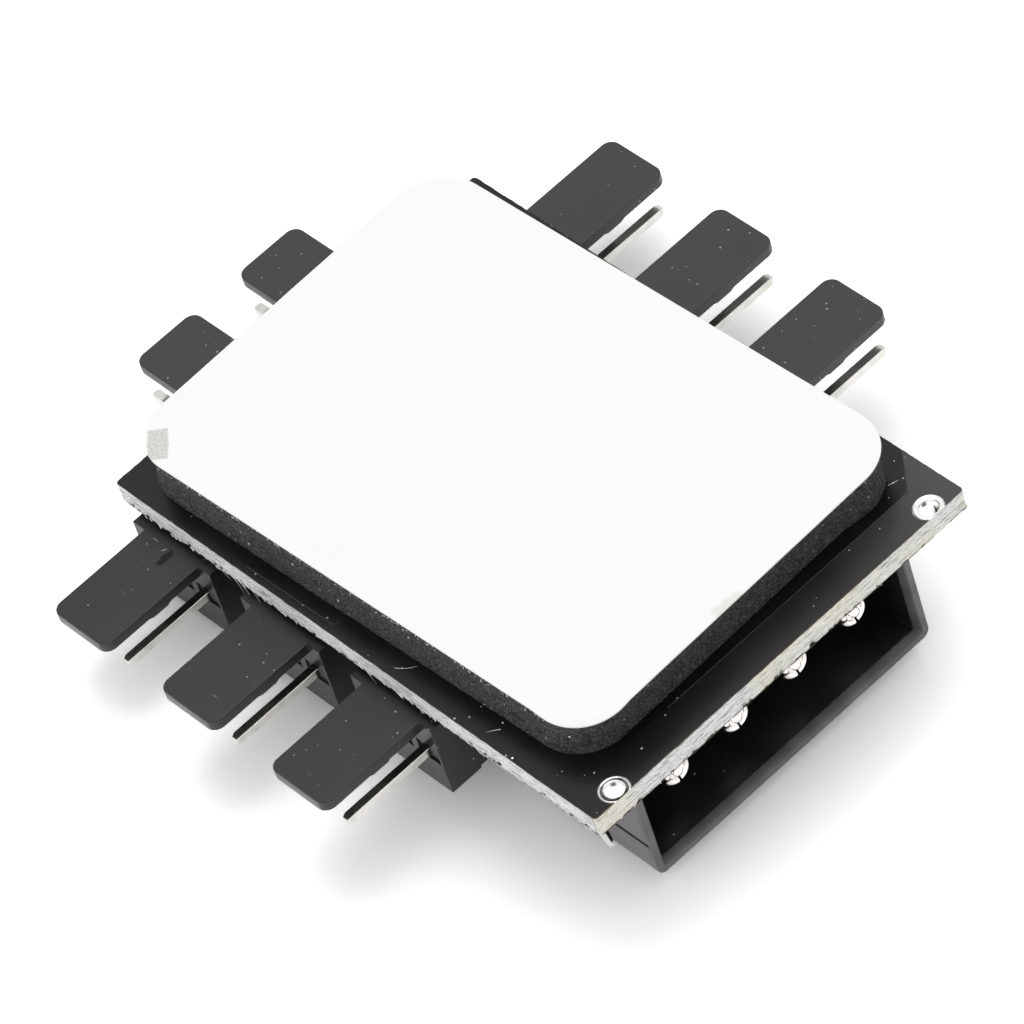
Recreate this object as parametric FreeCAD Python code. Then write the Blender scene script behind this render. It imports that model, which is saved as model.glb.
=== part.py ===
import FreeCAD, Part
import math
import os

# Eight-port fan hub: a small circuit board with eight right-angle three-pin fan headers,
# one four-pin power socket and a stick-on foam pad. Sizes are in millimetres.
# The sizes below are written from one corner of the board's component side:
# X runs along the board to the power end, Y across it, Z up through it to the pad.
# The finished part is moved so that its origin is the centre of the pad's free face.

# Circuit board: a pale laminate with a black solder mask on each face
BOARD_LENGTH = 44.4
BOARD_WIDTH = 31.4
BOARD_THICKNESS = 1.6
BOARD_CORNER_RADIUS = 0.25
MASK_THICKNESS = 0.04
MASK_CLEARANCE = 0.05

# Foam pad and its release liner: the bare strips they leave along the board's four
# sides, and the small turn with which they are stuck on
PAD_STRIP_FAN_END = 0.1
PAD_STRIP_POWER_END = 3.05
PAD_STRIP_NEAR = 1.9
PAD_STRIP_FAR = 1.6
PAD_TURN_DEG = 1.5
FOAM_THICKNESS = 2.95
FOAM_CORNER_RADIUS = 3.5
LINER_OVERHANG = 0.12
LINER_THICKNESS = 0.12
FOAM_POCKET_CLEARANCE = 0.15

# The foam leans a little: how far its base stands out past its face on the near side, and
# how far it draws in on the other three
FOAM_BASE_OUT_NEAR = 0.33
FOAM_BASE_IN_FAR = 0.33
FOAM_BASE_IN_POWER_END = 0.32
FOAM_BASE_IN_FAN_END = 0.2

# Three-pin fan header: a block that stands on the board, with a long latch tab
HEADER_WIDTH = 7.4
HEADER_SETOUT = 0.6
BLOCK_DEPTH = 3.1
BLOCK_HEIGHT = 6.0
BLOCK_STANDOFF = 0.45
FOOT_WIDTH = 1.1
FOOT_DEPTH = 1.4
REAR_STEP_DEPTH = 0.65
REAR_STEP_INSET = 0.15
TAB_WIDTH = 5.2
TAB_LENGTH = 7.95
TAB_THICKNESS = 0.84
TAB_CORNER_RADIUS = 0.8
TAB_EDGE_RADIUS = 0.08
TAB_UNDER_RADIUS = 0.12
RIDGE_FROM_TIP = 3.2
RIDGE_LEAD = 0.85
RIDGE_FLAT = 1.2
RIDGE_BACK = 0.65
RIDGE_HEIGHT = 0.38
RIDGE_SIDE_INSET = 0.25
RECESS_WIDTH = 1.9
RECESS_HEIGHT = 1.35
RECESS_DEPTH = 0.16
RECESS_ABOVE_PIN = 0.1

# Square pins of the fan headers, bent down through the board
PINS_PER_HEADER = 3
PIN_PITCH = 2.54
PIN_SIDE = 0.64
PIN_DROP = 2.98
PIN_REACH = 7.5
PIN_POINT_LENGTH = 0.3
PIN_POINT_SIDE = 0.44
PIN_LEG_SETBACK = 3.8
PIN_BEND_RADIUS = 0.45
PIN_PROTRUSION = 0.95
PIN_FIT_CLEARANCE = 0.02

# Rows of fan headers: three along each long edge, two on the end away from the power
LONG_ROW_COUNT = 3
NEAR_ROW_START = 1.6
NEAR_ROW_PITCH = 10.34
FAR_ROW_START = 2.12
FAR_ROW_PITCH = 10.16
END_ROW_COUNT = 2
END_ROW_PITCH = 8.97
END_ROW_START = 7.3

# Four-pin power socket under the power end
SOCKET_WIDTH = 23.5
SOCKET_HEIGHT = 10.5
SOCKET_DEPTH = 11.6
SOCKET_ROW_GAP = 0.41
SOCKET_CENTRE_Y = 16.12
SOCKET_WALL = 0.8
SOCKET_REAR_WALL = 2.2
SOCKET_EDGE_RADIUS = 0.6
KEY_CHAMFER = 2.6
MOUTH_LEAD_DEPTH = 0.5
MOUTH_LEAD_WIDTH = 0.3
GROOVE_WIDTH = 0.25
GROOVE_DEPTH = 0.25
GROOVE_HEIGHT = 2.6
GROOVE_END = 0.25

# Round rolled pins of the power socket
POWER_PIN_COUNT = 4
POWER_PIN_PITCH = 5.08
POWER_PIN_DIAMETER = 2.1
POWER_PIN_RECESS = 0.9
NOSE_LENGTH = 0.3
NOSE_RIM_DIAMETER = 1.5
KNOB_DIAMETER = 0.9
KNOB_HEIGHT = 0.4
SEAM_WIDTH = 0.2
SEAM_DEPTH = 0.5
SEAM_TURNS_DEG = (95, 178)
NECK_DIAMETER = 1.6
NECK_STANDOFF = 0.2
NECK_TAPER = 0.2
NECK_BEHIND_WALL = 0.3
TAIL_DIAMETER = 1.5
TAIL_SETBACK = 1.9
TAIL_BEND_RADIUS = 1.2
TAIL_PROTRUSION = 1.1

# Solder joints: a fillet on the pad side and a flat ring on the component side
FAN_HOLE_RADIUS = 0.55
FAN_FILLET_RADIUS = 0.95
FAN_FILLET_TOP_RADIUS = 0.5
FAN_FILLET_HEIGHT = 0.8
TAIL_HOLE_RADIUS = 0.9
TAIL_FILLET_RADIUS = 1.6
TAIL_FILLET_TOP_RADIUS = 0.85
TAIL_FILLET_HEIGHT = 0.95
RING_THICKNESS = 0.06

# Corner holes at the power end; the board's edge cuts their tinned rings
CORNER_HOLE_RADIUS = 0.66
CORNER_RING_RADIUS = 0.98
CORNER_HOLE_FROM_END = 0.76
CORNER_HOLE_FROM_SIDE = 2.32

# Lengths that follow from the sizes above
OVERCUT = 1.0
TAB_TIP_Y = -HEADER_SETOUT - TAB_LENGTH
BLOCK_TOP_Z = -BLOCK_STANDOFF
BLOCK_BOTTOM_Z = BLOCK_TOP_Z - BLOCK_HEIGHT
BLOCK_REAR_Y = BLOCK_DEPTH - HEADER_SETOUT
TAB_UNDER_Z = BLOCK_TOP_Z - TAB_THICKNESS
RECESS_TOP_Z = -PIN_DROP + PIN_SIDE / 2 + RECESS_ABOVE_PIN
FAR_ROW_END = FAR_ROW_START + (LONG_ROW_COUNT - 1) * FAR_ROW_PITCH + HEADER_WIDTH
SOCKET_REAR_X = FAR_ROW_END + SOCKET_ROW_GAP
MOUTH_X = SOCKET_REAR_X + SOCKET_DEPTH
SOCKET_AXIS_Z = -SOCKET_HEIGHT / 2
TAIL_X = SOCKET_REAR_X - TAIL_SETBACK
LAMINATE_LOW_Z = MASK_THICKNESS
LAMINATE_HIGH_Z = BOARD_THICKNESS - MASK_THICKNESS
FOAM_LENGTH = BOARD_LENGTH - PAD_STRIP_FAN_END - PAD_STRIP_POWER_END
FOAM_WIDTH = BOARD_WIDTH - PAD_STRIP_NEAR - PAD_STRIP_FAR
PAD_CENTRE_X = PAD_STRIP_FAN_END + FOAM_LENGTH / 2
PAD_CENTRE_Y = PAD_STRIP_NEAR + FOAM_WIDTH / 2
PAD_FACE_Z = BOARD_THICKNESS + FOAM_THICKNESS + LINER_THICKNESS


def vec(x, y, z):
    return FreeCAD.Vector(x, y, z)


def block(x0, x1, y0, y1, z0, z1):
    """Box between two corners."""
    return Part.makeBox(x1 - x0, y1 - y0, z1 - z0, vec(x0, y0, z0))


def closed_wire(points):
    return Part.makePolygon(points + [points[0]])


def prism(points, sweep):
    """Solid swept from a closed flat outline."""
    return Part.Face(closed_wire(points)).extrude(sweep)


def turned(edges, centre, axis, angle):
    """Solid turned from a closed chain of edges."""
    return Part.Face(Part.Wire(edges)).revolve(centre, axis, angle)


def upright_edges(shape):
    """Edges that run straight up."""
    found = []
    for edge in shape.Edges:
        low, high = edge.BoundBox.ZMin, edge.BoundBox.ZMax
        if abs(edge.Length - (high - low)) < 1e-6:
            found.append(edge)
    return found


def rounded_plate(length, width, radius, z0, z1):
    """Plate centred on the Z axis with rounded corners."""
    plate = block(-length / 2, length / 2, -width / 2, width / 2, z0, z1)
    return plate.makeFillet(radius, upright_edges(plate))


def matching_edges(shape, wanted):
    """Edges of a shape that lie where the wanted edges did before the shape was changed."""
    return [edge for edge in shape.Edges
            if any(edge.CenterOfMass.isEqual(old.CenterOfMass, 1e-6) for old in wanted)]


def pin_offsets(count, pitch):
    """Places of evenly spaced pins, centred on zero."""
    return [(number - (count - 1) / 2) * pitch for number in range(count)]


# Header parts are drawn in the header's own frame: X along the board's edge, Y from
# the edge into the board, Z up, with the origin on the edge of the component side.
def header_block():
    half = HEADER_WIDTH / 2
    body = block(-half, half, -HEADER_SETOUT, BLOCK_REAR_Y, BLOCK_BOTTOM_Z, BLOCK_TOP_Z)
    step_y = BLOCK_REAR_Y - REAR_STEP_DEPTH
    for side in (-1, 1):
        inner, outer = sorted((side * (half - REAR_STEP_INSET), side * (half + OVERCUT)))
        step = block(inner, outer, step_y, BLOCK_REAR_Y + OVERCUT,
                     BLOCK_BOTTOM_Z - OVERCUT, BLOCK_TOP_Z + OVERCUT)
        body = body.cut(step)
        foot_in, foot_out = sorted((side * (half - REAR_STEP_INSET - FOOT_WIDTH),
                                    side * (half - REAR_STEP_INSET)))
        body = body.fuse(block(foot_in, foot_out, BLOCK_REAR_Y - FOOT_DEPTH, BLOCK_REAR_Y,
                               BLOCK_TOP_Z, 0))
    return body


def latch_tab():
    """Flat tab on the block's front, with rounded free corners and softened rims."""
    half = TAB_WIDTH / 2
    plate = block(-half, half, TAB_TIP_Y, -HEADER_SETOUT, TAB_UNDER_Z, BLOCK_TOP_Z)
    corners = [edge for edge in upright_edges(plate) if edge.BoundBox.YMax < TAB_TIP_Y + 0.01]
    plate = plate.makeFillet(TAB_CORNER_RADIUS, corners)
    top_rims, low_rims = [], []
    for edge in plate.Edges:
        box = edge.BoundBox
        if box.ZMin > BLOCK_TOP_Z - 0.01 and box.YMin < -HEADER_SETOUT - 0.01:
            top_rims.append(edge)
        if box.ZMax < TAB_UNDER_Z + 0.01 and box.YMin < -HEADER_SETOUT - 0.01:
            low_rims.append(edge)
    plate = plate.makeFillet(TAB_UNDER_RADIUS, low_rims)
    return plate.makeFillet(TAB_EDGE_RADIUS, matching_edges(plate, top_rims))


def latch_ridge():
    """Ridge across the tab's pin side, with a ramp at each end."""
    start = TAB_TIP_Y + RIDGE_FROM_TIP
    flat_start = start + RIDGE_LEAD
    flat_end = flat_start + RIDGE_FLAT
    low = TAB_UNDER_Z - RIDGE_HEIGHT
    half = TAB_WIDTH / 2 - RIDGE_SIDE_INSET
    inside = TAB_UNDER_Z + TAB_THICKNESS / 2
    outline = [vec(-half, start, inside), vec(-half, start, TAB_UNDER_Z),
               vec(-half, flat_start, low), vec(-half, flat_end, low),
               vec(-half, flat_end + RIDGE_BACK, TAB_UNDER_Z),
               vec(-half, flat_end + RIDGE_BACK, inside)]
    return prism(outline, vec(2 * half, 0, 0))


def fan_header():
    """Moulded housing of one fan header, with a passage and a shallow recess for each pin."""
    housing = header_block().fuse([latch_tab(), latch_ridge()]).removeSplitter()
    half = PIN_SIDE / 2 + PIN_FIT_CLEARANCE
    for place in pin_offsets(PINS_PER_HEADER, PIN_PITCH):
        passage = block(place - half, place + half, -HEADER_SETOUT - OVERCUT,
                        BLOCK_REAR_Y + OVERCUT, -PIN_DROP - half, -PIN_DROP + half)
        recess = block(place - RECESS_WIDTH / 2, place + RECESS_WIDTH / 2,
                       -HEADER_SETOUT - OVERCUT, -HEADER_SETOUT + RECESS_DEPTH,
                       RECESS_TOP_Z - RECESS_HEIGHT, RECESS_TOP_Z)
        housing = housing.cut([passage, recess])
    return housing


def fan_pin(place):
    """Square pin: a pointed end, a straight run, a bend and a leg through the board."""
    half = PIN_SIDE / 2
    point_half = PIN_POINT_SIDE / 2
    tip_y = -PIN_REACH
    shaft_y = tip_y + PIN_POINT_LENGTH
    bend = PIN_BEND_RADIUS + half
    bend_y = PIN_LEG_SETBACK - bend
    bend_z = -PIN_DROP + bend
    top_z = BOARD_THICKNESS + PIN_PROTRUSION
    point = Part.makeWedge(place - half, -shaft_y, -PIN_DROP - half,
                           -PIN_DROP - point_half, place - point_half,
                           place + half, -tip_y, -PIN_DROP + half,
                           -PIN_DROP + point_half, place + point_half)
    point = point.mirror(vec(0, 0, 0), vec(0, 1, 0))
    run = block(place - half, place + half, shaft_y, bend_y, -PIN_DROP - half, -PIN_DROP + half)
    section = [vec(place - half, bend_y, -PIN_DROP - half), vec(place + half, bend_y, -PIN_DROP - half),
               vec(place + half, bend_y, -PIN_DROP + half), vec(place - half, bend_y, -PIN_DROP + half)]
    elbow = Part.Face(closed_wire(section)).revolve(vec(place, bend_y, bend_z), vec(1, 0, 0), 90)
    leg = block(place - half, place + half, PIN_LEG_SETBACK - half, PIN_LEG_SETBACK + half,
                bend_z, top_z)
    return point.fuse([run, elbow, leg]).removeSplitter()


def solder_joint(x, y, hole, base, top, height, core):
    """Solder that fills a drilled hole round a leg, with a hollow-sided fillet above."""
    low, up = LAMINATE_LOW_Z, LAMINATE_HIGH_Z
    ring = low - RING_THICKNESS
    middle = (base + top) / 2 - (base - top) * 0.2
    fillet = Part.Arc(vec(x + base, y, up), vec(x + middle, y, up + height * 0.35),
                      vec(x + top, y, up + height)).toShape()
    chain = [vec(x + top, y, up + height), vec(x, y, up + height), vec(x, y, ring),
             vec(x + base, y, ring), vec(x + base, y, low), vec(x + hole, y, low),
             vec(x + hole, y, up), vec(x + base, y, up)]
    sides = [Part.makeLine(a, b) for a, b in zip(chain, chain[1:])]
    return turned([fillet] + sides, vec(x, y, 0), vec(0, 0, 1), 360).cut(core)


def fan_solder(place):
    half = PIN_SIDE / 2
    y = PIN_LEG_SETBACK
    core = block(place - half, place + half, y - half, y + half, -OVERCUT,
                 BOARD_THICKNESS + PIN_PROTRUSION + OVERCUT)
    return solder_joint(place, y, FAN_HOLE_RADIUS, FAN_FILLET_RADIUS, FAN_FILLET_TOP_RADIUS,
                        FAN_FILLET_HEIGHT, core)


def header_places():
    """Row name, number, turn and place on the board of each fan header."""
    places = []
    for number in range(LONG_ROW_COUNT):
        near = NEAR_ROW_START + HEADER_WIDTH / 2 + number * NEAR_ROW_PITCH
        far = FAR_ROW_START + HEADER_WIDTH / 2 + number * FAR_ROW_PITCH
        places.append(("near", number + 1, 0, vec(near, 0, 0)))
        places.append(("far", number + 1, 180, vec(far, BOARD_WIDTH, 0)))
    for number in range(END_ROW_COUNT):
        middle = END_ROW_START + HEADER_WIDTH / 2 + number * END_ROW_PITCH
        places.append(("end", number + 1, -90, vec(0, middle, 0)))
    return places


def on_edge(shape, turn, place):
    """A header's part brought from the header's frame to the board."""
    moved = shape.copy()
    moved.rotate(vec(0, 0, 0), vec(0, 0, 1), turn)
    moved.translate(place)
    return moved


def cavity_outline(x, grow):
    """Outline of the socket's cavity, with its two board-side corners cut off."""
    half = SOCKET_WIDTH / 2 - SOCKET_WALL + grow
    low = -SOCKET_HEIGHT + SOCKET_WALL - grow
    high = -SOCKET_WALL + grow
    cut = KEY_CHAMFER + grow * (2 - math.sqrt(2))
    left, right = SOCKET_CENTRE_Y - half, SOCKET_CENTRE_Y + half
    return closed_wire([vec(x, left, low), vec(x, right, low), vec(x, right, high - cut),
                        vec(x, right - cut, high), vec(x, left + cut, high),
                        vec(x, left, high - cut)])


def power_socket():
    """Open-fronted housing of the power socket."""
    left = SOCKET_CENTRE_Y - SOCKET_WIDTH / 2
    right = SOCKET_CENTRE_Y + SOCKET_WIDTH / 2
    shell = block(SOCKET_REAR_X, MOUTH_X, left, right, -SOCKET_HEIGHT, 0)
    low_edges = []
    for edge in shell.Edges:
        box = edge.BoundBox
        if box.ZMax < -SOCKET_HEIGHT + 0.01 and box.YLength < 0.01:
            low_edges.append(edge)
    shell = shell.makeFillet(SOCKET_EDGE_RADIUS, low_edges)
    floor_x = SOCKET_REAR_X + SOCKET_REAR_WALL
    cavity = Part.Face(cavity_outline(floor_x, 0)).extrude(vec(MOUTH_X - floor_x, 0, 0))
    lead = Part.makeLoft([cavity_outline(MOUTH_X - MOUTH_LEAD_DEPTH, 0),
                          cavity_outline(MOUTH_X, MOUTH_LEAD_WIDTH)], True, True)
    shell = shell.cut([cavity, lead])
    groove_low = -SOCKET_HEIGHT + GROOVE_HEIGHT
    for wall, depth in ((left, GROOVE_DEPTH), (right, -GROOVE_DEPTH)):
        y0, y1 = sorted((wall - depth, wall + depth))
        shell = shell.cut(block(SOCKET_REAR_X - OVERCUT, MOUTH_X - GROOVE_END, y0, y1,
                                groove_low, groove_low + GROOVE_WIDTH))
    for y in power_pin_places():
        shell = shell.cut(Part.makeCylinder(NECK_DIAMETER / 2 + PIN_FIT_CLEARANCE,
                                            SOCKET_REAR_WALL + 2 * OVERCUT,
                                            vec(SOCKET_REAR_X - OVERCUT, y, SOCKET_AXIS_Z),
                                            vec(1, 0, 0)))
    return shell


def power_pin_places():
    return [SOCKET_CENTRE_Y + offset for offset in pin_offsets(POWER_PIN_COUNT, POWER_PIN_PITCH)]


def tangent_arc(start_x, start_r, end_x, end_r, y, z):
    """Arc above the pin's axis that leaves the start level with the axis."""
    run, drop = end_x - start_x, start_r - end_r
    radius = (run * run + drop * drop) / (2 * drop)
    half_angle = math.asin(run / radius) / 2
    middle = vec(start_x + radius * math.sin(half_angle), y,
                 z + start_r - radius * (1 - math.cos(half_angle)))
    return Part.Arc(vec(start_x, y, z + start_r), middle, vec(end_x, y, z + end_r)).toShape()


def knob_arc(face_x, y, z):
    """Domed end of the pin, from its foot to its tip on the axis."""
    foot = KNOB_DIAMETER / 2
    radius = (foot * foot + KNOB_HEIGHT * KNOB_HEIGHT) / (2 * KNOB_HEIGHT)
    half_angle = math.asin(min(1, foot / radius)) / 2
    centre_x = face_x + KNOB_HEIGHT - radius
    middle = vec(centre_x + radius * math.cos(half_angle), y, z + radius * math.sin(half_angle))
    return Part.Arc(vec(face_x, y, z + foot), middle, vec(face_x + KNOB_HEIGHT, y, z)).toShape()


def power_pin(y):
    """Round pin with a rounded nose, two seams, a domed end, a neck and a bent tail."""
    radius, rim, neck = POWER_PIN_DIAMETER / 2, NOSE_RIM_DIAMETER / 2, NECK_DIAMETER / 2
    tip_x = MOUTH_X - POWER_PIN_RECESS
    face_x = tip_x - KNOB_HEIGHT
    shoulder_x = face_x - NOSE_LENGTH
    neck_x = SOCKET_REAR_X + SOCKET_REAR_WALL + NECK_STANDOFF
    rear_x = SOCKET_REAR_X - NECK_BEHIND_WALL
    z = SOCKET_AXIS_Z
    chain = [vec(tip_x, y, z), vec(rear_x, y, z), vec(rear_x, y, z + neck),
             vec(neck_x, y, z + neck), vec(neck_x + NECK_TAPER, y, z + radius),
             vec(shoulder_x, y, z + radius)]
    edges = [Part.makeLine(a, b) for a, b in zip(chain, chain[1:])]
    edges.append(tangent_arc(shoulder_x, radius, face_x, rim, y, z))
    edges.append(Part.makeLine(vec(face_x, y, z + rim), vec(face_x, y, z + KNOB_DIAMETER / 2)))
    edges.append(knob_arc(face_x, y, z))
    shank = turned(edges, vec(0, y, z), vec(1, 0, 0), 360)
    for angle in SEAM_TURNS_DEG:
        seam = block(neck_x + NECK_TAPER, face_x + OVERCUT, y - SEAM_WIDTH / 2,
                     y + SEAM_WIDTH / 2, z + radius - SEAM_DEPTH, z + radius + OVERCUT)
        seam.rotate(vec(0, y, z), vec(1, 0, 0), angle)
        shank = shank.cut(seam)
    return shank.fuse(power_tail(y, rear_x)).removeSplitter()


def power_tail(y, rear_x):
    """Thinner tail that bends behind the socket and rises through the board."""
    tail = TAIL_DIAMETER / 2
    z = SOCKET_AXIS_Z
    bend_x = TAIL_X + TAIL_BEND_RADIUS
    bend_z = z + TAIL_BEND_RADIUS
    run = Part.makeCylinder(tail, rear_x - bend_x, vec(bend_x, y, z), vec(1, 0, 0))
    ring = Part.Face(Part.Wire(Part.makeCircle(tail, vec(bend_x, y, z), vec(1, 0, 0))))
    elbow = ring.revolve(vec(bend_x, y, bend_z), vec(0, 1, 0), 90)
    rise = Part.makeCylinder(tail, BOARD_THICKNESS + TAIL_PROTRUSION - bend_z, vec(TAIL_X, y, bend_z))
    return run.fuse([elbow, rise])


def power_solder(y):
    core = Part.makeCylinder(TAIL_DIAMETER / 2, BOARD_THICKNESS + TAIL_PROTRUSION + 2 * OVERCUT,
                             vec(TAIL_X, y, -OVERCUT))
    return solder_joint(TAIL_X, y, TAIL_HOLE_RADIUS, TAIL_FILLET_RADIUS, TAIL_FILLET_TOP_RADIUS,
                        TAIL_FILLET_HEIGHT, core)


def corner_hole_places():
    x = BOARD_LENGTH - CORNER_HOLE_FROM_END
    return [("near", x, CORNER_HOLE_FROM_SIDE), ("far", x, BOARD_WIDTH - CORNER_HOLE_FROM_SIDE)]


def corner_rings(x, y):
    """Tinned ring on each face round a corner hole, cut off at the board's end."""
    rings = []
    for z in (LAMINATE_LOW_Z - RING_THICKNESS, LAMINATE_HIGH_Z):
        ring = Part.makeCylinder(CORNER_RING_RADIUS, RING_THICKNESS, vec(x, y, z))
        bore = Part.makeCylinder(CORNER_HOLE_RADIUS, RING_THICKNESS, vec(x, y, z))
        beyond = block(BOARD_LENGTH, BOARD_LENGTH + CORNER_RING_RADIUS, y - CORNER_RING_RADIUS,
                       y + CORNER_RING_RADIUS, z - OVERCUT, z + OVERCUT)
        rings.append(ring.cut([bore, beyond]))
    return Part.makeCompound(rings)


def fan_leg_places():
    """Place on the board of every leg of the fan headers."""
    legs = []
    for row, number, turn, place in header_places():
        for offset in pin_offsets(PINS_PER_HEADER, PIN_PITCH):
            leg = Part.Vertex(offset, PIN_LEG_SETBACK, 0)
            leg.rotate(vec(0, 0, 0), vec(0, 0, 1), turn)
            legs.append(leg.Point + place)
    return legs


def board_layer(z0, z1, fan_radius, tail_radius, corner_radius):
    """One layer of the board with a round opening at every leg, tail and corner hole."""
    layer = rounded_plate(BOARD_LENGTH, BOARD_WIDTH, BOARD_CORNER_RADIUS, z0, z1)
    layer.translate(vec(BOARD_LENGTH / 2, BOARD_WIDTH / 2, 0))
    openings = [(fan_radius, leg.x, leg.y) for leg in fan_leg_places()]
    openings += [(tail_radius, TAIL_X, y) for y in power_pin_places()]
    openings += [(corner_radius, x, y) for side, x, y in corner_hole_places()]
    drills = [Part.makeCylinder(radius, z1 - z0 + 2 * OVERCUT, vec(x, y, z0 - OVERCUT))
              for radius, x, y in openings]
    return layer.cut(drills)


def circuit_board():
    return board_layer(LAMINATE_LOW_Z, LAMINATE_HIGH_Z, FAN_HOLE_RADIUS, TAIL_HOLE_RADIUS,
                       CORNER_HOLE_RADIUS)


def solder_mask(z0):
    return board_layer(z0, z0 + MASK_THICKNESS, FAN_FILLET_RADIUS + MASK_CLEARANCE,
                       TAIL_FILLET_RADIUS + MASK_CLEARANCE, CORNER_RING_RADIUS + MASK_CLEARANCE)


def stuck_on(shape):
    """A pad piece turned and brought to its place on the board."""
    shape.rotate(vec(0, 0, 0), vec(0, 0, 1), PAD_TURN_DEG)
    shape.translate(vec(PAD_CENTRE_X, PAD_CENTRE_Y, 0))
    return shape


def pocket(x, y, joint_radius, joint_height):
    """Hollow that a solder joint presses into the foam."""
    return Part.makeCylinder(joint_radius + FOAM_POCKET_CLEARANCE,
                             joint_height + FOAM_POCKET_CLEARANCE + OVERCUT,
                             vec(x, y, BOARD_THICKNESS - OVERCUT))


def rounded_outline(x0, x1, y0, y1, radius, z):
    """Flat closed outline of a rectangle with rounded corners."""
    plate = block(x0, x1, y0, y1, z, z + OVERCUT)
    rounded = plate.makeFillet(radius, upright_edges(plate))
    low_face = min(rounded.Faces, key=lambda face: face.BoundBox.ZMax)
    return low_face.OuterWire


def foam_block():
    """The foam without its hollows: its base is set off a little from its face."""
    half_x, half_y = FOAM_LENGTH / 2, FOAM_WIDTH / 2
    base = rounded_outline(-half_x + FOAM_BASE_IN_FAN_END, half_x - FOAM_BASE_IN_POWER_END,
                           -half_y - FOAM_BASE_OUT_NEAR, half_y - FOAM_BASE_IN_FAR,
                           FOAM_CORNER_RADIUS, BOARD_THICKNESS)
    face = rounded_outline(-half_x, half_x, -half_y, half_y, FOAM_CORNER_RADIUS,
                           BOARD_THICKNESS + FOAM_THICKNESS)
    return Part.makeLoft([base, face], True, True)


def foam_pad():
    foam = stuck_on(foam_block())
    pockets = [pocket(leg.x, leg.y, FAN_FILLET_RADIUS, PIN_PROTRUSION)
               for leg in fan_leg_places()]
    pockets += [pocket(TAIL_X, y, TAIL_FILLET_RADIUS, TAIL_PROTRUSION)
                for y in power_pin_places()]
    return foam.cut(pockets)


def release_liner():
    grow = 2 * LINER_OVERHANG
    return stuck_on(rounded_plate(FOAM_LENGTH + grow, FOAM_WIDTH + grow,
                                  FOAM_CORNER_RADIUS + LINER_OVERHANG,
                                  PAD_FACE_Z - LINER_THICKNESS, PAD_FACE_Z))


def build():
    """All pieces by name, in the board's frame."""
    pieces = {"circuit_board": circuit_board(), "foam_pad": foam_pad(),
              "release_liner": release_liner(), "power_socket": power_socket(),
              "solder_mask_pad_side": solder_mask(LAMINATE_HIGH_Z),
              "solder_mask_component_side": solder_mask(0)}
    housing = fan_header()
    offsets = pin_offsets(PINS_PER_HEADER, PIN_PITCH)
    for row, number, turn, place in header_places():
        name = f"{row}_{number}"
        pieces[f"fan_header_{name}"] = on_edge(housing, turn, place)
        for count, offset in enumerate(offsets, 1):
            pieces[f"fan_pin_{name}_{count}"] = on_edge(fan_pin(offset), turn, place)
        joints = Part.makeCompound([fan_solder(offset) for offset in offsets])
        pieces[f"fan_solder_{name}"] = on_edge(joints, turn, place)
    for count, y in enumerate(power_pin_places(), 1):
        pieces[f"power_pin_{count}"] = power_pin(y)
    pieces["power_solder"] = Part.makeCompound([power_solder(y) for y in power_pin_places()])
    for side, x, y in corner_hole_places():
        pieces[f"corner_rings_{side}"] = corner_rings(x, y)
    return pieces


def main():
    os.makedirs("parts", exist_ok=True)
    to_pad_face = vec(-PAD_CENTRE_X, -PAD_CENTRE_Y, -PAD_FACE_Z)
    for name, shape in build().items():
        shape.translate(to_pad_face)
        shape.exportStep(f"parts/{name}.step")


main()
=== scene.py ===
"""Looks of an eight-port fan hub: a black circuit board that lies on its parts, with a foam pad up."""

import math

import bmesh
import bpy
from mathutils import Matrix, Vector, geometry, noise


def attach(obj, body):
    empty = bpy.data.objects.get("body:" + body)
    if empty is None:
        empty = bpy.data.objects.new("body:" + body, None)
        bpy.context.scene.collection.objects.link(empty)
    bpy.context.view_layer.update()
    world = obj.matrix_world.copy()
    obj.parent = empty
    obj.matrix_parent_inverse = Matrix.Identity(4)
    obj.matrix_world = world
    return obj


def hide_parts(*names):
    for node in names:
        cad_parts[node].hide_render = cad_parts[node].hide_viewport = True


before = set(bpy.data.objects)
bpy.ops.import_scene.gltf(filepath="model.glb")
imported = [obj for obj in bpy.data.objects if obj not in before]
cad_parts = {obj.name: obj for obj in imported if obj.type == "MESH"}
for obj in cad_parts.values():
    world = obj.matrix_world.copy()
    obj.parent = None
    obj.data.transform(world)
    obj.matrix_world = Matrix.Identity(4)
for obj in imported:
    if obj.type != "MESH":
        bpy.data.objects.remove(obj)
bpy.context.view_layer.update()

# Places are written in millimetres from the board's corner, as in the part's source:
# X along the board to the power end, Y across it, Z up through it to the pad.
MM = 0.001

# Board
BOARD_LENGTH = 44.4
BOARD_WIDTH = 31.4
BOARD_THICKNESS = 1.6
BOARD_CORNER_RADIUS = 0.25
MASK_THICKNESS = 0.04
MASK_CLEARANCE = 0.05
SAWN_STEP = 0.12
SAWN_LEVELS = 11
SAWN_DEPTH = 0.05
DEEPEST_TEAR = 0.25
CHIP_DEPTH = 0.17
CHIP_RISE = 0.2
CHIPPED_SHARE = 0.35
TORN_SHARE_AT_TOP = 0.35
HOLE_WALL_REACH = 0.8
HOLE_WALL_TEAR = 0.04
MASK_RAGGED = 0.03
DEEPEST_RAGGED = 0.1
RIM_BAND = 0.09
ARC_STEPS = 36

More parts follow.
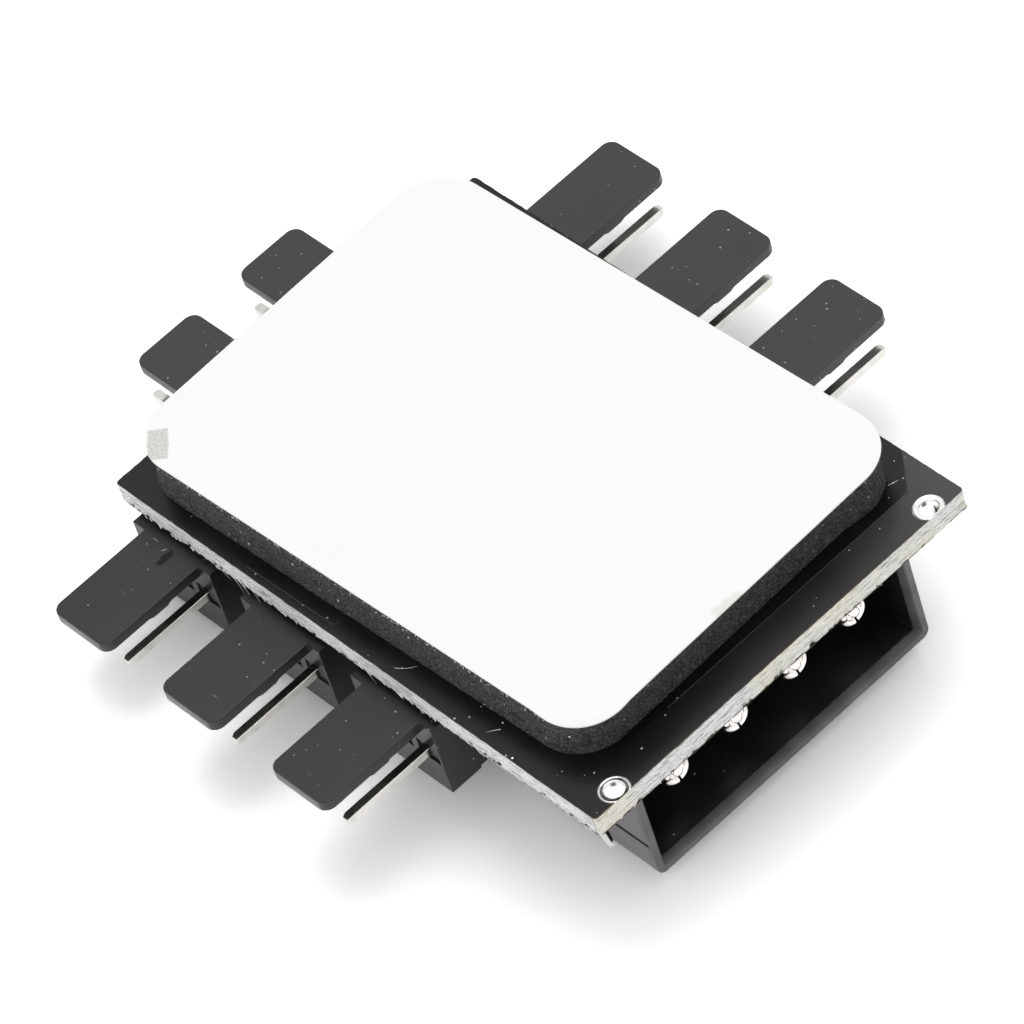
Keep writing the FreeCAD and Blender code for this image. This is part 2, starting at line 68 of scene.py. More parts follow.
# Foam pad and liner
PAD_LENGTH = 41.25
PAD_WIDTH = 27.9
PAD_CENTRE_X = 20.725
PAD_CENTRE_Y = 15.85
PAD_TURN_DEG = 1.5
BASE_IN_FAN_END = 0.2
BASE_IN_POWER_END = 0.32
BASE_OUT_NEAR = 0.33
FOAM_THICKNESS = 2.95
FOAM_CORNER_RADIUS = 3.5
FOAM_STEP = 0.085
FOAM_LEVELS = 36
FOAM_PIT_DEPTH = 0.07
FOAM_WANDER = 0.06
FOAM_INSET = 0.04
FOAM_WAIST = 0.10
FOAM_RIM_PRESS = 0.10
FOAM_RIM_SHARE = 0.1
FOAM_DENT = 0.05
FOAM_POCKET_CLEARANCE = 0.15
LINER_OVERHANG = 0.12
LINER_THICKNESS = 0.12
LINER_STEP = 0.25
LINER_FACE_Z = BOARD_THICKNESS + FOAM_THICKNESS + LINER_THICKNESS
LINER_INSETS = (0.0, 0.1, 0.25, 0.45, 0.7, 1.0, 1.5, 2.2)
LINER_SLACK = 0.03
LINER_SLACK_WIDTH = 0.5
# The dressed sheet is a little thinner than its place, clear of the foam
LINER_SHEET_SHARE = 0.8
BULGE_PLACE = (40.2, 29.3)
BULGE_REACH = 4.2
BULGE_OUT = 0.42
CURL_PLACE = (40.6, 3.2)
CURL_REACH = 3.4
CURL_DROP = 0.3
CURL_WIDTH = 0.75

# The frame's origin is the middle of the liner's face
BOARD_CORNER = Vector((-PAD_CENTRE_X, -PAD_CENTRE_Y, -LINER_FACE_Z))

# Fan headers
HEADER_WIDTH = 7.4
TAB_TOP_Z = -0.45
TAB_TIP_Y = -8.55
PIN_PITCH = 2.54
PIN_LEG_SETBACK = 3.8
PIN_PROTRUSION = 0.95
FAN_HOLE_RADIUS = 0.55
FAN_FILLET_RADIUS = 0.95
LONG_ROW_COUNT = 3
NEAR_ROW_START = 1.6
NEAR_ROW_PITCH = 10.34
FAR_ROW_START = 2.12
FAR_ROW_PITCH = 10.16
END_ROW_COUNT = 2
END_ROW_START = 7.3
END_ROW_PITCH = 8.97

# Power socket
TAIL_X = 28.35
TAIL_PROTRUSION = 1.1
TAIL_HOLE_RADIUS = 0.9
TAIL_FILLET_RADIUS = 1.6
POWER_PIN_COUNT = 4
POWER_PIN_PITCH = 5.08
SOCKET_CENTRE_Y = 16.12
SOCKET_AXIS_Z = -5.25
SOCKET_NEAR_Y = 4.37
CONTACT_FACE_X = 40.55
MOUTH_LEAD_X = 41.36
# Where each petal starts and ends in degrees, and how far it flares
PETALS = ((100, 172, 0.2), (186, 446, 0.0))
PETAL_PROFILE = ((0.56, -0.1), (0.57, 0.06), (0.64, 0.15), (0.76, 0.2), (0.89, 0.16), (0.99, 0.05),
                 (1.04, -0.12), (1.04, -0.3), (0.8, -0.3))
PETAL_ROOT_RADIUS = 0.5
PETAL_STEP_DEG = 6

# Corner holes
CORNER_HOLE_X = 43.64
CORNER_HOLE_Y = (2.32, 29.08)
CORNER_HOLE_RADIUS = 0.66
CORNER_RING_RADIUS = 0.98
EYELET_CROWN = 0.07
EYELET_WALL = 0.035
EYELET_LIP = 0.08
EYELET_SIDES = 72
# Share of the ring's width from its hole, and share of the crown's height
EYELET_SECTION = ((0.98, 0.4), (0.93, 0.9), (0.86, 1.0), (0.78, 0.8), (0.6, 0.62), (0.35, 0.58),
                  (0.2, 0.5), (0.08, 0.15))
END_CLEARANCE = 0.01

# Softened edges of the moulded and stamped parts
HEADER_EDGE = 0.06
SOCKET_EDGE = 0.07
PIN_EDGE = 0.05
POWER_PIN_EDGE = 0.04
SHARP_DEG = 32
CONTACT_SHARP_DEG = 40
ROLLED_SHARP_DEG = 60
LINER_SHARP_DEG = 50
FLAT_DEG = 0.5
WELD_METRES = 2e-6

# Sides of the drilled holes
HOLE_SIDES = 28
WIDE_HOLE_SIDES = 40
WIDE_HOLE_RADIUS = 1.4
MASK_HOLE_SIDES = 32
# A triangle whose middle is nearer a hole's centre than this share of its radius is left out
CLEAR_SHARE = 0.97
SAME_PLACE = 1e-7

# Fine lines in the mask over the copper's edge: their places and widths. Past the edge's line,
# and past a line that slants off at the far corner, the mask is paler.
POUR_CORNER = (41.6, 29.3)
POUR_EDGES = (
    (((41.78, 8.6), (41.78, 28.75), POUR_CORNER, (40.66, 30.35), (39.8, 30.75)), 0.05),
    (((12.06, 0.49), (20.24, 0.62), (20.24, 1.08)), 0.04),
)
POUR_RISE = 0.012
POUR_EDGE_X = 41.8
POUR_SLANT = 0.806
POUR_SOFTNESS = 0.02

# Smudges on the liner: place, reach, tint and strength
LINER_MARKS = (
    ((41.3, 14.3, LINER_FACE_Z), 0.5, (0.76, 0.75, 0.69, 1), 0.75),
    ((41.35, 15.1, LINER_FACE_Z), 0.55, (0.76, 0.75, 0.69, 1), 0.75),
    ((41.3, 15.8, LINER_FACE_Z), 0.4, (0.78, 0.77, 0.72, 1), 0.7),
)

# Painted grey shade on a patch by the liner's fan-end corner: its middle, length, width and turn in
# degrees
LINER_SHADE_PATCH = ((2.57, 2.49, LINER_FACE_Z), 2.45, 1.3, -42.0)

# Level near which the painted light on the foam's upper rim begins
RIM_LEVEL = BOARD_THICKNESS + FOAM_THICKNESS - 0.45

# Faces painted paler for the light and reflection they catch: place across the board, shade, level of the
# lower edge and its shade
PAINTED_LIGHT_TAB_TIPS = (TAB_TIP_Y, 0.08, -1.08, 0.36)
PAINTED_LIGHT_SOCKET_WALL = (SOCKET_NEAR_Y, 0.14, 0.0, 0.14)

# Dark band round the near eyelet's hole: its middle, inner and outer radius
NEAR_RING_STAIN = ((CORNER_HOLE_X, CORNER_HOLE_Y[0], 0), 0.69, 0.9)

# Torn fibres: start, end, bow and radius
TORN_FIBRES = (
    ((10.3, 0.04, 0.25), (11.75, -0.12, -0.75), (0.25, -0.05, 0.28), 0.022),
    ((11.1, 0.04, 0.25), (12.5, -0.12, -0.86), (0.2, -0.05, 0.25), 0.026),
    ((12.6, 0.04, 0.1), (13.5, -0.12, -1.0), (0.15, -0.05, 0.15), 0.014),
    ((9.2, 0.04, 0.3), (10.6, -0.10, -0.25), (0.1, -0.05, 0.10), 0.016),
    ((23.1, 0.05, 0.15), (24.3, -0.12, -0.35), (0.1, -0.05, 0.1), 0.014),
    ((28.3, 0.04, 0.1), (27.4, -0.12, -1.2), (0.25, -0.05, -0.15), 0.010),
    ((29.6, 0.04, 0.1), (29.25, -0.10, -0.8), (-0.15, -0.03, 0.1), 0.009),
    ((3.35, BOARD_WIDTH - 0.08, 1.5), (2.85, BOARD_WIDTH - 0.06, 1.52), (0.0, 0.02, 0.02), 0.06),
)
FIBRE_SIDES = 5
FIBRE_TAPER = 0.7

# Short fibres along the board's lower edge, and crumbs under the liner, in millimetres
FUZZ_LENGTH = 0.33
FUZZ_RADIUS = 0.03
FUZZ_LEVEL = 0.06
CRUMB_LENGTH = 0.13
CRUMB_RADIUS = 0.034

# A flake that curls down from the board's near power corner, and behind it a very dark strip that is
# painted shadow
CORNER_FLAKE = ((44.3, 0.12, 0.55), (44.36, 0.2, 0.05), (44.37, 0.3, -0.5), (44.37, 0.4, -1.05),
                (44.37, 0.54, -1.45), (44.38, 0.84, -1.56))
CORNER_SHADOW_STRIP = ((44.28, 0.5, 0.25), (44.33, 0.55, -0.1), (44.34, 0.61, -0.65), (44.34, 0.68, -1.25))
FLAKE_THICKNESS = 0.05
# Width at the root, and the share of it that is lost by the tip
FLAKE_SIZE = (0.42, 0.35)
SHADOW_STRIP_SIZE = (0.26, 0.1)

# Dark smear on the root of the first near tab: middle, half length, half width, turn in degrees
TAB_SMEAR = ((5.58, -1.36, TAB_TOP_Z), 0.7, 0.24, 92.0)
SMEAR_SIDES = 40
SMEAR_RISE = 0.012
SMEAR_SINK = 0.01
SMEAR_RAGGED = 0.45

# Grains of solder on the mask beside the pad: place and radius
SOLDER_GRAINS = ((34.42, 1.73, 0.07), (36.9, 0.22, 0.1), (26.2, 0.9, 0.035), (39.33, 30.43, 0.05),
                 (39.68, 31.05, 0.035), (41.13, 28.16, 0.035), (6.2, 1.1, 0.03), (17.4, 0.5, 0.035))

# Short hairs on the mask and the tabs: start, end, bow and radius
LINT = (
    ((34.75, 1.32, 1.64), (34.15, 0.62, 1.64), (0.0, 0.0, 0.03), 0.03),
    ((25.73, 0.57, 1.62), (26.97, 1.69, 1.65), (0.15, -0.13, 0.05), 0.022),
    ((3.76, -0.75, -0.44), (4.24, -0.77, -0.44), (0.0, 0.05, 0.02), 0.022),
    ((4.95, -1.1, -0.44), (5.2, -0.72, -0.44), (0.03, 0.0, 0.02), 0.018),
    ((40.4, 28.78, 1.64), (40.64, 29.53, 1.64), (0.06, 0.0, 0.06), 0.026),
    ((39.83, 28.95, 1.66), (40.09, 28.99, 1.66), (0.0, 0.04, 0.06), 0.02),
)

# Metals: bright and stained colour, roughness from and to, unevenness in mm, grains per metre
RING_TIN = ((0.97, 0.97, 0.96, 1), (0.84, 0.83, 0.80, 1), (0.08, 0.16), 0.02, 1400.0)
METALS = {
    "bright_tinned_pin": ((0.70, 0.69, 0.65, 1), (0.54, 0.53, 0.49, 1), (0.10, 0.2), 0.01, 3000.0),
    "bright_tinned_contact": ((0.97, 0.95, 0.93, 1), (0.86, 0.82, 0.79, 1), (0.06, 0.14), 0.012,
                              2200.0),
    "bright_tinned_ring": RING_TIN,
    "stained_tinned_ring": RING_TIN,
    "tin_solder": ((0.84, 0.84, 0.83, 1), (0.66, 0.65, 0.63, 1), (0.12, 0.3), 0.03, 1400.0),
}
STAINS = {"stained_tinned_ring": NEAR_RING_STAIN}
STAIN_DARK = (0.045, 0.04, 0.038, 1)

# Colours of the laminate
RESIN_SHADED = (0.42, 0.47, 0.45, 1)
RESIN_PALE = (0.96, 0.98, 0.96, 1)
FIBRE_WHITE = (1.0, 1.0, 0.99, 1)
RESIN_GREY = (0.40, 0.47, 0.46, 1)
RESIN_WARM = (0.93, 0.88, 0.70, 1)
TEAR_DARK = (0.12, 0.135, 0.13, 1)

# Colours of the solder mask, over copper and past its edge; past it they run from dark by the pad to
# paler at the far side, a painted reflection
MASK_BLACK = (0.003, 0.0037, 0.0034, 1)
MASK_LIGHTER = (0.006, 0.0069, 0.0064, 1)
BARE_PAINTED_DARK_NEAR = (0.005, 0.0057, 0.0052, 1)
BARE_PAINTED_MIDDLE = (0.016, 0.0165, 0.0157, 1)
BARE_PAINTED_SHEEN_FAR = (0.063, 0.0635, 0.061, 1)
MASK_RIM_BROWN = (0.085, 0.05, 0.03, 1)
MASK_SPECK = (0.4, 0.41, 0.42, 1)

# Colours of the foam, with its painted light and painted glints
FOAM_BLACK = (0.012, 0.012, 0.0115, 1)
FOAM_WALL = (0.050, 0.050, 0.048, 1)
FOAM_FINE_WALL = (0.095, 0.094, 0.091, 1)
FOAM_PAINTED_LIGHT = (0.125, 0.120, 0.110, 1)
FOAM_SPECK = (0.26, 0.265, 0.265, 1)
FOAM_GLINT = (0.85, 0.86, 0.87, 1)

# Colours of the liner
LINER_WHITE = (0.925, 0.925, 0.925, 1)
LINER_LIGHTER = (0.94, 0.94, 0.94, 1)
# Painted shade on the patch by the fan-end corner
SHADE_PATCH_DARK = (0.58, 0.57, 0.54, 1)
SHADE_PATCH_LIGHT = (0.73, 0.72, 0.69, 1)

# Colours of the plastics
PLASTIC_DUST = (0.3, 0.31, 0.32, 1)
PLASTIC_SCUFF = (0.10, 0.102, 0.102, 1)
# Painted light on the socket mouth's lead, unevenly dim and bright
LIP_PAINTED_LIGHT_DIM = (0.065, 0.062, 0.060, 1)
LIP_PAINTED_LIGHT_BRIGHT = (0.115, 0.109, 0.105, 1)

# Camera at the photograph's place
VIEW_FROM = (303.10, -140.92, 348.97)
VIEW_RIGHT = Vector((0.66716, 0.71090, -0.22254))
VIEW_UP = Vector((-0.45004, 0.62272, 0.64007))
PHOTO_PIXELS = 1024
FOCAL_PIXELS = 7731
SENSOR_MM = 36

# The hub lies on its socket's rear edge and on the end headers' blocks
FLOOR_LOW = (30.25, -10.5)
FLOOR_HIGH = (-0.6, -6.47)

# Stage: sizes and places in metres, strengths in watts
FLOOR_HALF = 2.0
FLOOR_SHADE = (0.88, 0.88, 0.88, 1)
FLOOR_GAIN = 0.58
SKY_LIGHT = 0.73
LAMPS = (
    ("overhead_softbox", (-0.052, 0.088, 0.6), 0.38, 1.08),
    ("near_softbox", (0.0, -0.6, 0.22), 0.45, 0.36),
    ("power_end_softbox", (0.62, -0.1, 0.2), 0.45, 0.14),
)


def at(x, y, z):
    """Place in metres in the shared frame, from millimetres on the board."""
    return (Vector((x, y, z)) + BOARD_CORNER) * MM


def x_at(x):
    return at(x, 0, 0).x


def y_at(y):
    return at(0, y, 0).y


def z_at(z):
    return at(0, 0, z).z


def metres(*lengths):
    """Millimetres as metres."""
    return tuple(length * MM for length in lengths)


# Meshes


def new_piece(name, mesh, material, slot_name):
    """A finished object that rides with the hub, with the given material."""
    piece = bpy.data.objects.new(name, mesh)
    bpy.context.scene.collection.objects.link(piece)
    mesh.materials.append(material)
    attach(piece, "root")
    return piece


def mesh_from(name, points, faces):
    mesh = bpy.data.meshes.new(name)
    mesh.from_pydata([at(*point) for point in points], [], faces)
    mesh.update()
    return mesh


def rounded_outline(length, width, radius, step):
    """Points and outward directions round a rounded rectangle centred on zero, anticlockwise."""
    outline = []
    half_x, half_y = length / 2 - radius, width / 2 - radius
    corners = ((half_x, -half_y, -90), (half_x, half_y, 0), (-half_x, half_y, 90),
               (-half_x, -half_y, 180))
    for number, (cx, cy, start) in enumerate(corners):
        arc_steps = max(4, round(radius * math.pi / 2 / step))
        for count in range(arc_steps + 1):
            angle = math.radians(start + 90 * count / arc_steps)
            out = Vector((math.cos(angle), math.sin(angle)))
            outline.append((Vector((cx, cy)) + out * radius, out))
        next_x, next_y, _ = corners[(number + 1) % 4]
        run_start = outline[-1][0]
        out = outline[-1][1]
        run_end = Vector((next_x, next_y)) + out * radius
        run_steps = round((run_end - run_start).length / step)
        for count in range(1, run_steps):
            outline.append((run_start.lerp(run_end, count / run_steps), out))
    return outline


def placed_outline(outline, turn_deg, x, y):
    turn = Matrix.Rotation(math.radians(turn_deg), 2)
    return [(turn @ point + Vector((x, y)), turn @ out) for point, out in outline]


def run_lengths(outline):
    """Distance along the outline to each of its points."""
    lengths = [0.0]
    for (a, _), (b, _) in zip(outline, outline[1:]):
        lengths.append(lengths[-1] + (b - a).length)
    return lengths


def circle_points(x, y, radius, count):
    return [Vector((x + radius * math.cos(2 * math.pi * n / count),
                    y + radius * math.sin(2 * math.pi * n / count))) for n in range(count)]


def quads(first, rows, size, closed=False):
    """Corners a, b on one row and c, d on the next, between rows that are rings of one size."""
    corners = []
    for row in range(rows if closed else rows - 1):
        above = (row + 1) % rows
        for k in range(size):
            after = (k + 1) % size
            corners.append((first + row * size + k, first + row * size + after,
                            first + above * size + after, first + above * size + k))
    return corners


def smooth(mesh, sharp_deg=None):
    """Shades a mesh smooth, but for edges sharper than the given angle."""
    mesh.polygons.foreach_set("use_smooth", [True] * len(mesh.polygons))
    if sharp_deg:
        mesh.set_sharp_from_angle(angle=math.radians(sharp_deg))


def sheet_faces(rings, hole_circles):
    """Triangles that fill a flat outline round its holes, as indices into the rings' points."""
    points = [point for ring in rings for point in ring]
    edges = []
    start = 0
    for ring in rings:
        count = len(ring)
        edges += [(start + n, start + (n + 1) % count) for n in range(count)]
        start += count
    _, _, faces, origins, _, _ = geometry.delaunay_2d_cdt(points, edges, [], 1, SAME_PLACE)
    kept = []
    for face in faces:
        corners = [origins[index][0] for index in face]
        middle = sum((points[index] for index in corners), Vector((0, 0))) / 3
        if all((middle - Vector((x, y))).length > radius * CLEAR_SHARE for x, y, radius in hole_circles):
            kept.append(corners)
    return kept


def upward(points, face):
    """Whether a flat face's corners run anticlockwise seen from above."""
    a, b, c = (points[index] for index in face)
    return (b[0] - a[0]) * (c[1] - a[1]) - (b[1] - a[1]) * (c[0] - a[0]) > 0


def drilled_plate(name, outline, levels, surface, holes, blind_top=None):
    """Plate with shaped sides and drilled holes.

    surface gives the place of a side point from its outline point, outward direction, run
    length and level. holes are (x, y, radius). With blind_top the holes are pockets from
    below, each with its own height, and the upper face is whole.
    """
    points, runs = [], []
    lengths = run_lengths(outline)
    count = len(outline)
    for level in levels:
        for (point, out), run in zip(outline, lengths):
            points.append(surface(point, out, run, level))
            runs.append((run, level))
    faces = quads(0, len(levels), count)
    side_count = len(faces)
    hole_rings = [circle_points(x, y, radius,
                                HOLE_SIDES if radius < WIDE_HOLE_RADIUS else WIDE_HOLE_SIDES)
                  for x, y, radius in holes]
    low_start = len(points)
    for ring in hole_rings:
        points += [(p.x, p.y, levels[0]) for p in ring]
    high_start = len(points)
    for number, ring in enumerate(hole_rings):
        top = levels[-1] if blind_top is None else levels[0] + blind_top[number]
        points += [(p.x, p.y, top) for p in ring]
    runs += [(0.0, levels[0])] * (len(points) - len(runs))
    last_row = (len(levels) - 1) * count
    for base, ring_base, up in ((0, low_start, False), (last_row, high_start, True)):
        rings = [[Vector(points[base + n][:2]) for n in range(count)]]
        index = [base + n for n in range(count)]
        circles = []
        if not (up and blind_top is not None):
            rings += hole_rings
            index += range(ring_base, ring_base + sum(len(ring) for ring in hole_rings))
            circles = holes
        for face in sheet_faces(rings, circles):
            corners = [index[n] for n in face]
            if upward(points, corners) != up:
                corners.reverse()
            faces.append(tuple(corners))
    start = 0
    for ring in hole_rings:
        size = len(ring)
        for n in range(size):
            a, b = low_start + start + n, low_start + start + (n + 1) % size
            shift = high_start - low_start
            faces.append((b, a, a + shift, b + shift))
        if blind_top is not None:
            roof = [high_start + start + n for n in range(size)]
            faces.append(tuple(reversed(roof)))
        start += size
    mesh = mesh_from(name, points, faces)
    uv = mesh.uv_layers.new(name="run")
    for loop in mesh.loops:
        run, level = runs[loop.vertex_index]
        uv.data[loop.index].uv = (run, level)
    mesh.polygons.foreach_set("use_smooth", [n < side_count for n in range(len(faces))])
    return mesh


def merged_copy(node):
    """A CAD node's mesh with its loose triangles joined into whole faces."""
    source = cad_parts[node].data
    bm = bmesh.new()
    corners = [bm.verts.new(vertex.co) for vertex in source.vertices]
    for polygon in source.polygons:
        bm.faces.new([corners[index] for index in polygon.vertices])
    bmesh.ops.remove_doubles(bm, verts=bm.verts, dist=WELD_METRES)
    bmesh.ops.dissolve_limit(bm, angle_limit=math.radians(FLAT_DEG), verts=bm.verts,
                             edges=bm.edges)
    mesh = bpy.data.meshes.new(node + "_refined")
    bm.to_mesh(mesh)
    bm.free()
    return mesh


def refined_node(node, name, edge, material, slot_name, sharp_deg=SHARP_DEG):
    """Stands for a CAD node, with its sharp edges softened."""
    mesh = merged_copy(node)
    smooth(mesh, sharp_deg)
    piece = new_piece(name, mesh, material, slot_name)
    bevel = piece.modifiers.new("softened edges", "BEVEL")
    bevel.width = edge * MM
    bevel.segments = 2
    bevel.limit_method = "ANGLE"
    bevel.angle_limit = math.radians(sharp_deg)
    bevel.harden_normals = True
    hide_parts(node)


# Shader building


def feed(tree, socket, value):
    """Links a socket to another node's output, or sets a plain value on it."""
    if isinstance(value, bpy.types.NodeSocket):
        tree.links.new(value, socket)
    else:
        socket.default_value = value


def add(tree, kind, inputs=None, **settings):
    node = tree.nodes.new(kind)
    for key, value in settings.items():
        setattr(node, key, value)
    for key, value in (inputs or {}).items():
        feed(tree, node.inputs[key], value)
    return node


def maths(tree, operation, first, second=0.0):
    return add(tree, "ShaderNodeMath", {0: first, 1: second}, operation=operation).outputs[0]


def blend_colours(tree, share, first, second):
    node = add(tree, "ShaderNodeMix", data_type="RGBA")
    feed(tree, node.inputs[0], share)
    feed(tree, node.inputs[6], first)
    feed(tree, node.inputs[7], second)
    return node.outputs[2]


def ramp(tree, value, low, high, out_low=0.0, out_high=1.0):
    """Value stretched from one range to another and held at its ends."""
    node = add(tree, "ShaderNodeMapRange", {0: value, 1: low, 2: high, 3: out_low, 4: out_high})
    return node.outputs[0]


def noise_value(tree, position, scale, detail=2.0, roughness=0.5):
    node = add(tree, "ShaderNodeTexNoise", {"Vector": position, "Scale": scale, "Detail": detail,
                                            "Roughness": roughness})
    return node.outputs["Fac"]


def stretched(tree, position, scale, turn=(0, 0, 0), location=(0, 0, 0)):
    node = add(tree, "ShaderNodeMapping", {"Vector": position, "Scale": scale, "Rotation": turn,
                                           "Location": location})
    return node.outputs["Vector"]


def object_place(tree):
    return add(tree, "ShaderNodeTexCoord").outputs["Object"]


def axes(tree, place):
    """The X, Y and Z of a place, each as a value."""
    parts = add(tree, "ShaderNodeSeparateXYZ", {"Vector": place}).outputs
    return parts["X"], parts["Y"], parts["Z"]


def run_place(tree):
    return add(tree, "ShaderNodeUVMap", uv_map="run").outputs["UV"]


def bump(tree, height, distance_mm, strength=1.0):
    node = add(tree, "ShaderNodeBump", {"Height": height, "Strength": strength,
                                        "Distance": distance_mm * MM})
    return node.outputs["Normal"]


def new_material(name, **sockets):
    """Material with one Principled shader; the plain numbers go on the shader's own sockets."""
    material = bpy.data.materials.new(name)
    material.use_nodes = True
    tree = material.node_tree
    shader = tree.nodes["Principled BSDF"]
    for key, value in sockets.items():
        shader.inputs[key.replace("_", " ")].default_value = value
    return material, tree, shader


def finish_shader(tree, shader, **sockets):
    """Feeds the shader's sockets, each named with _ for a space."""
    for key, value in sockets.items():
        feed(tree, shader.inputs[key.replace("_", " ")], value)


def distance_from(tree, place, centre, flat=False):
    """Distance in metres from a place on the board, or from a line through it when flat."""
    offset = add(tree, "ShaderNodeVectorMath", {0: place, 1: at(*centre)},
                 operation="SUBTRACT").outputs["Vector"]
    if flat:
        offset = add(tree, "ShaderNodeVectorMath", {0: offset, 1: (1, 1, 0)},
                     operation="MULTIPLY").outputs["Vector"]
    return add(tree, "ShaderNodeVectorMath", {0: offset}, operation="LENGTH").outputs["Value"]


def seen_rays(tree):
    """One for rays from the camera, a mirror or a clear face, zero for those that light."""
    rays = add(tree, "ShaderNodeLightPath").outputs
    return maths(tree, "MAXIMUM", rays["Is Camera Ray"],
                 maths(tree, "MAXIMUM", rays["Is Glossy Ray"], rays["Is Transmission Ray"]))


def new_group(name, inputs, outputs):
    group = bpy.data.node_groups.new(name, "ShaderNodeTree")
    for socket_name, kind, default in inputs:
        socket = group.interface.new_socket(socket_name, in_out="INPUT", socket_type=kind)
        if default is not None:
            socket.default_value = default
    for socket_name, kind in outputs:
        group.interface.new_socket(socket_name, in_out="OUTPUT", socket_type=kind)
    return group, group.nodes.new("NodeGroupInput"), group.nodes.new("NodeGroupOutput")


def grouped(tree, group, inputs):
    node = add(tree, "ShaderNodeGroup", node_tree=group)
    for key, value in inputs.items():
        feed(tree, node.inputs[key], value)
    return node


def dust_group():
    """Loose bright specks: a few cells of a cell pattern hold one small grain each."""
    group, start, end = new_group(
        "dust_specks",
        [("Position", "NodeSocketVector", None), ("Spacing per m", "NodeSocketFloat", 900.0),
         ("Share", "NodeSocketFloat", 0.2), ("Size", "NodeSocketFloat", 0.1)],
        [("Mask", "NodeSocketFloat")])
    cells = add(group, "ShaderNodeTexVoronoi", {"Vector": start.outputs["Position"],
                                                "Scale": start.outputs["Spacing per m"]})
    pick = add(group, "ShaderNodeSeparateColor", {"Color": cells.outputs["Color"]})
    chosen = maths(group, "LESS_THAN", pick.outputs["Red"], start.outputs["Share"])
    reach = maths(group, "MULTIPLY", pick.outputs["Green"], start.outputs["Size"])
    near = maths(group, "LESS_THAN", cells.outputs["Distance"], reach)
    feed(group, end.inputs["Mask"], maths(group, "MULTIPLY", chosen, near))
    return group


def grain_group():
    """Fine even texture of a moulded or coated face, as a height and a slow shade."""
    group, start, end = new_group(
        "fine_grain",
        [("Position", "NodeSocketVector", None), ("Grain per m", "NodeSocketFloat", 6000.0)],
        [("Height", "NodeSocketFloat"), ("Shade", "NodeSocketFloat")])
    fine = add(group, "ShaderNodeTexNoise", {"Vector": start.outputs["Position"],
                                             "Scale": start.outputs["Grain per m"], "Detail": 3.0})
    slow = add(group, "ShaderNodeTexNoise", {"Vector": start.outputs["Position"], "Scale": 260.0,
                                             "Detail": 2.0})
    feed(group, end.inputs["Height"], fine.outputs["Fac"])
    feed(group, end.inputs["Shade"], slow.outputs["Fac"])
    return group


# Materials


def laminate_material():
    """Sawn glass-fibre laminate: pale, slightly green, with torn fibre layers."""
    material, tree, shader = new_material("sawn_glass_laminate", Roughness=0.6, IOR=1.5)
    run = run_place(tree)
    place = object_place(tree)

    def streaks(scale, shift, detail, roughness):
        spot = stretched(tree, run, (*scale, 1.0), location=(*shift, 0))
        return noise_value(tree, spot, 1.0, detail, roughness)

    layers = streaks((0.5, 4.2), (0, 0), 4.0, 0.7)
    fibres = streaks((0.8, 7.5), (7, 3), 3.0, 0.7)
    tears = streaks((0.6, 7.0), (31, 5), 4.0, 0.7)
    mottle = streaks((3.2, 9.0), (3, 17), 2.0, 0.6)
    along, _, _ = axes(tree, place)
    power_end = ramp(tree, along, x_at(BOARD_LENGTH - 0.5), x_at(BOARD_LENGTH - 0.2), 0.05, 0.6)
    warm = maths(tree, "MULTIPLY", ramp(tree, noise_value(tree, place, 240.0), 0.46, 0.62), power_end)
    body = blend_colours(tree, ramp(tree, layers, 0.41, 0.50), RESIN_SHADED, RESIN_PALE)
    body = blend_colours(tree, ramp(tree, fibres, 0.48, 0.54, 0.0, 0.95), body, FIBRE_WHITE)
    body = blend_colours(tree, ramp(tree, mottle, 0.50, 0.60, 0.0, 0.45), body, RESIN_GREY)
    body = blend_colours(tree, warm, body, RESIN_WARM)
    body = blend_colours(tree, ramp(tree, tears, 0.58, 0.62, 0.0, 0.9), body, TEAR_DARK)
    height = maths(tree, "ADD", layers, maths(tree, "MULTIPLY", fibres, 0.5))
    finish_shader(tree, shader, Base_Color=body, Roughness=ramp(tree, fibres, 0.4, 0.7, 0.75, 0.4),
                  Normal=bump(tree, height, 0.14, 1.0))
    return material


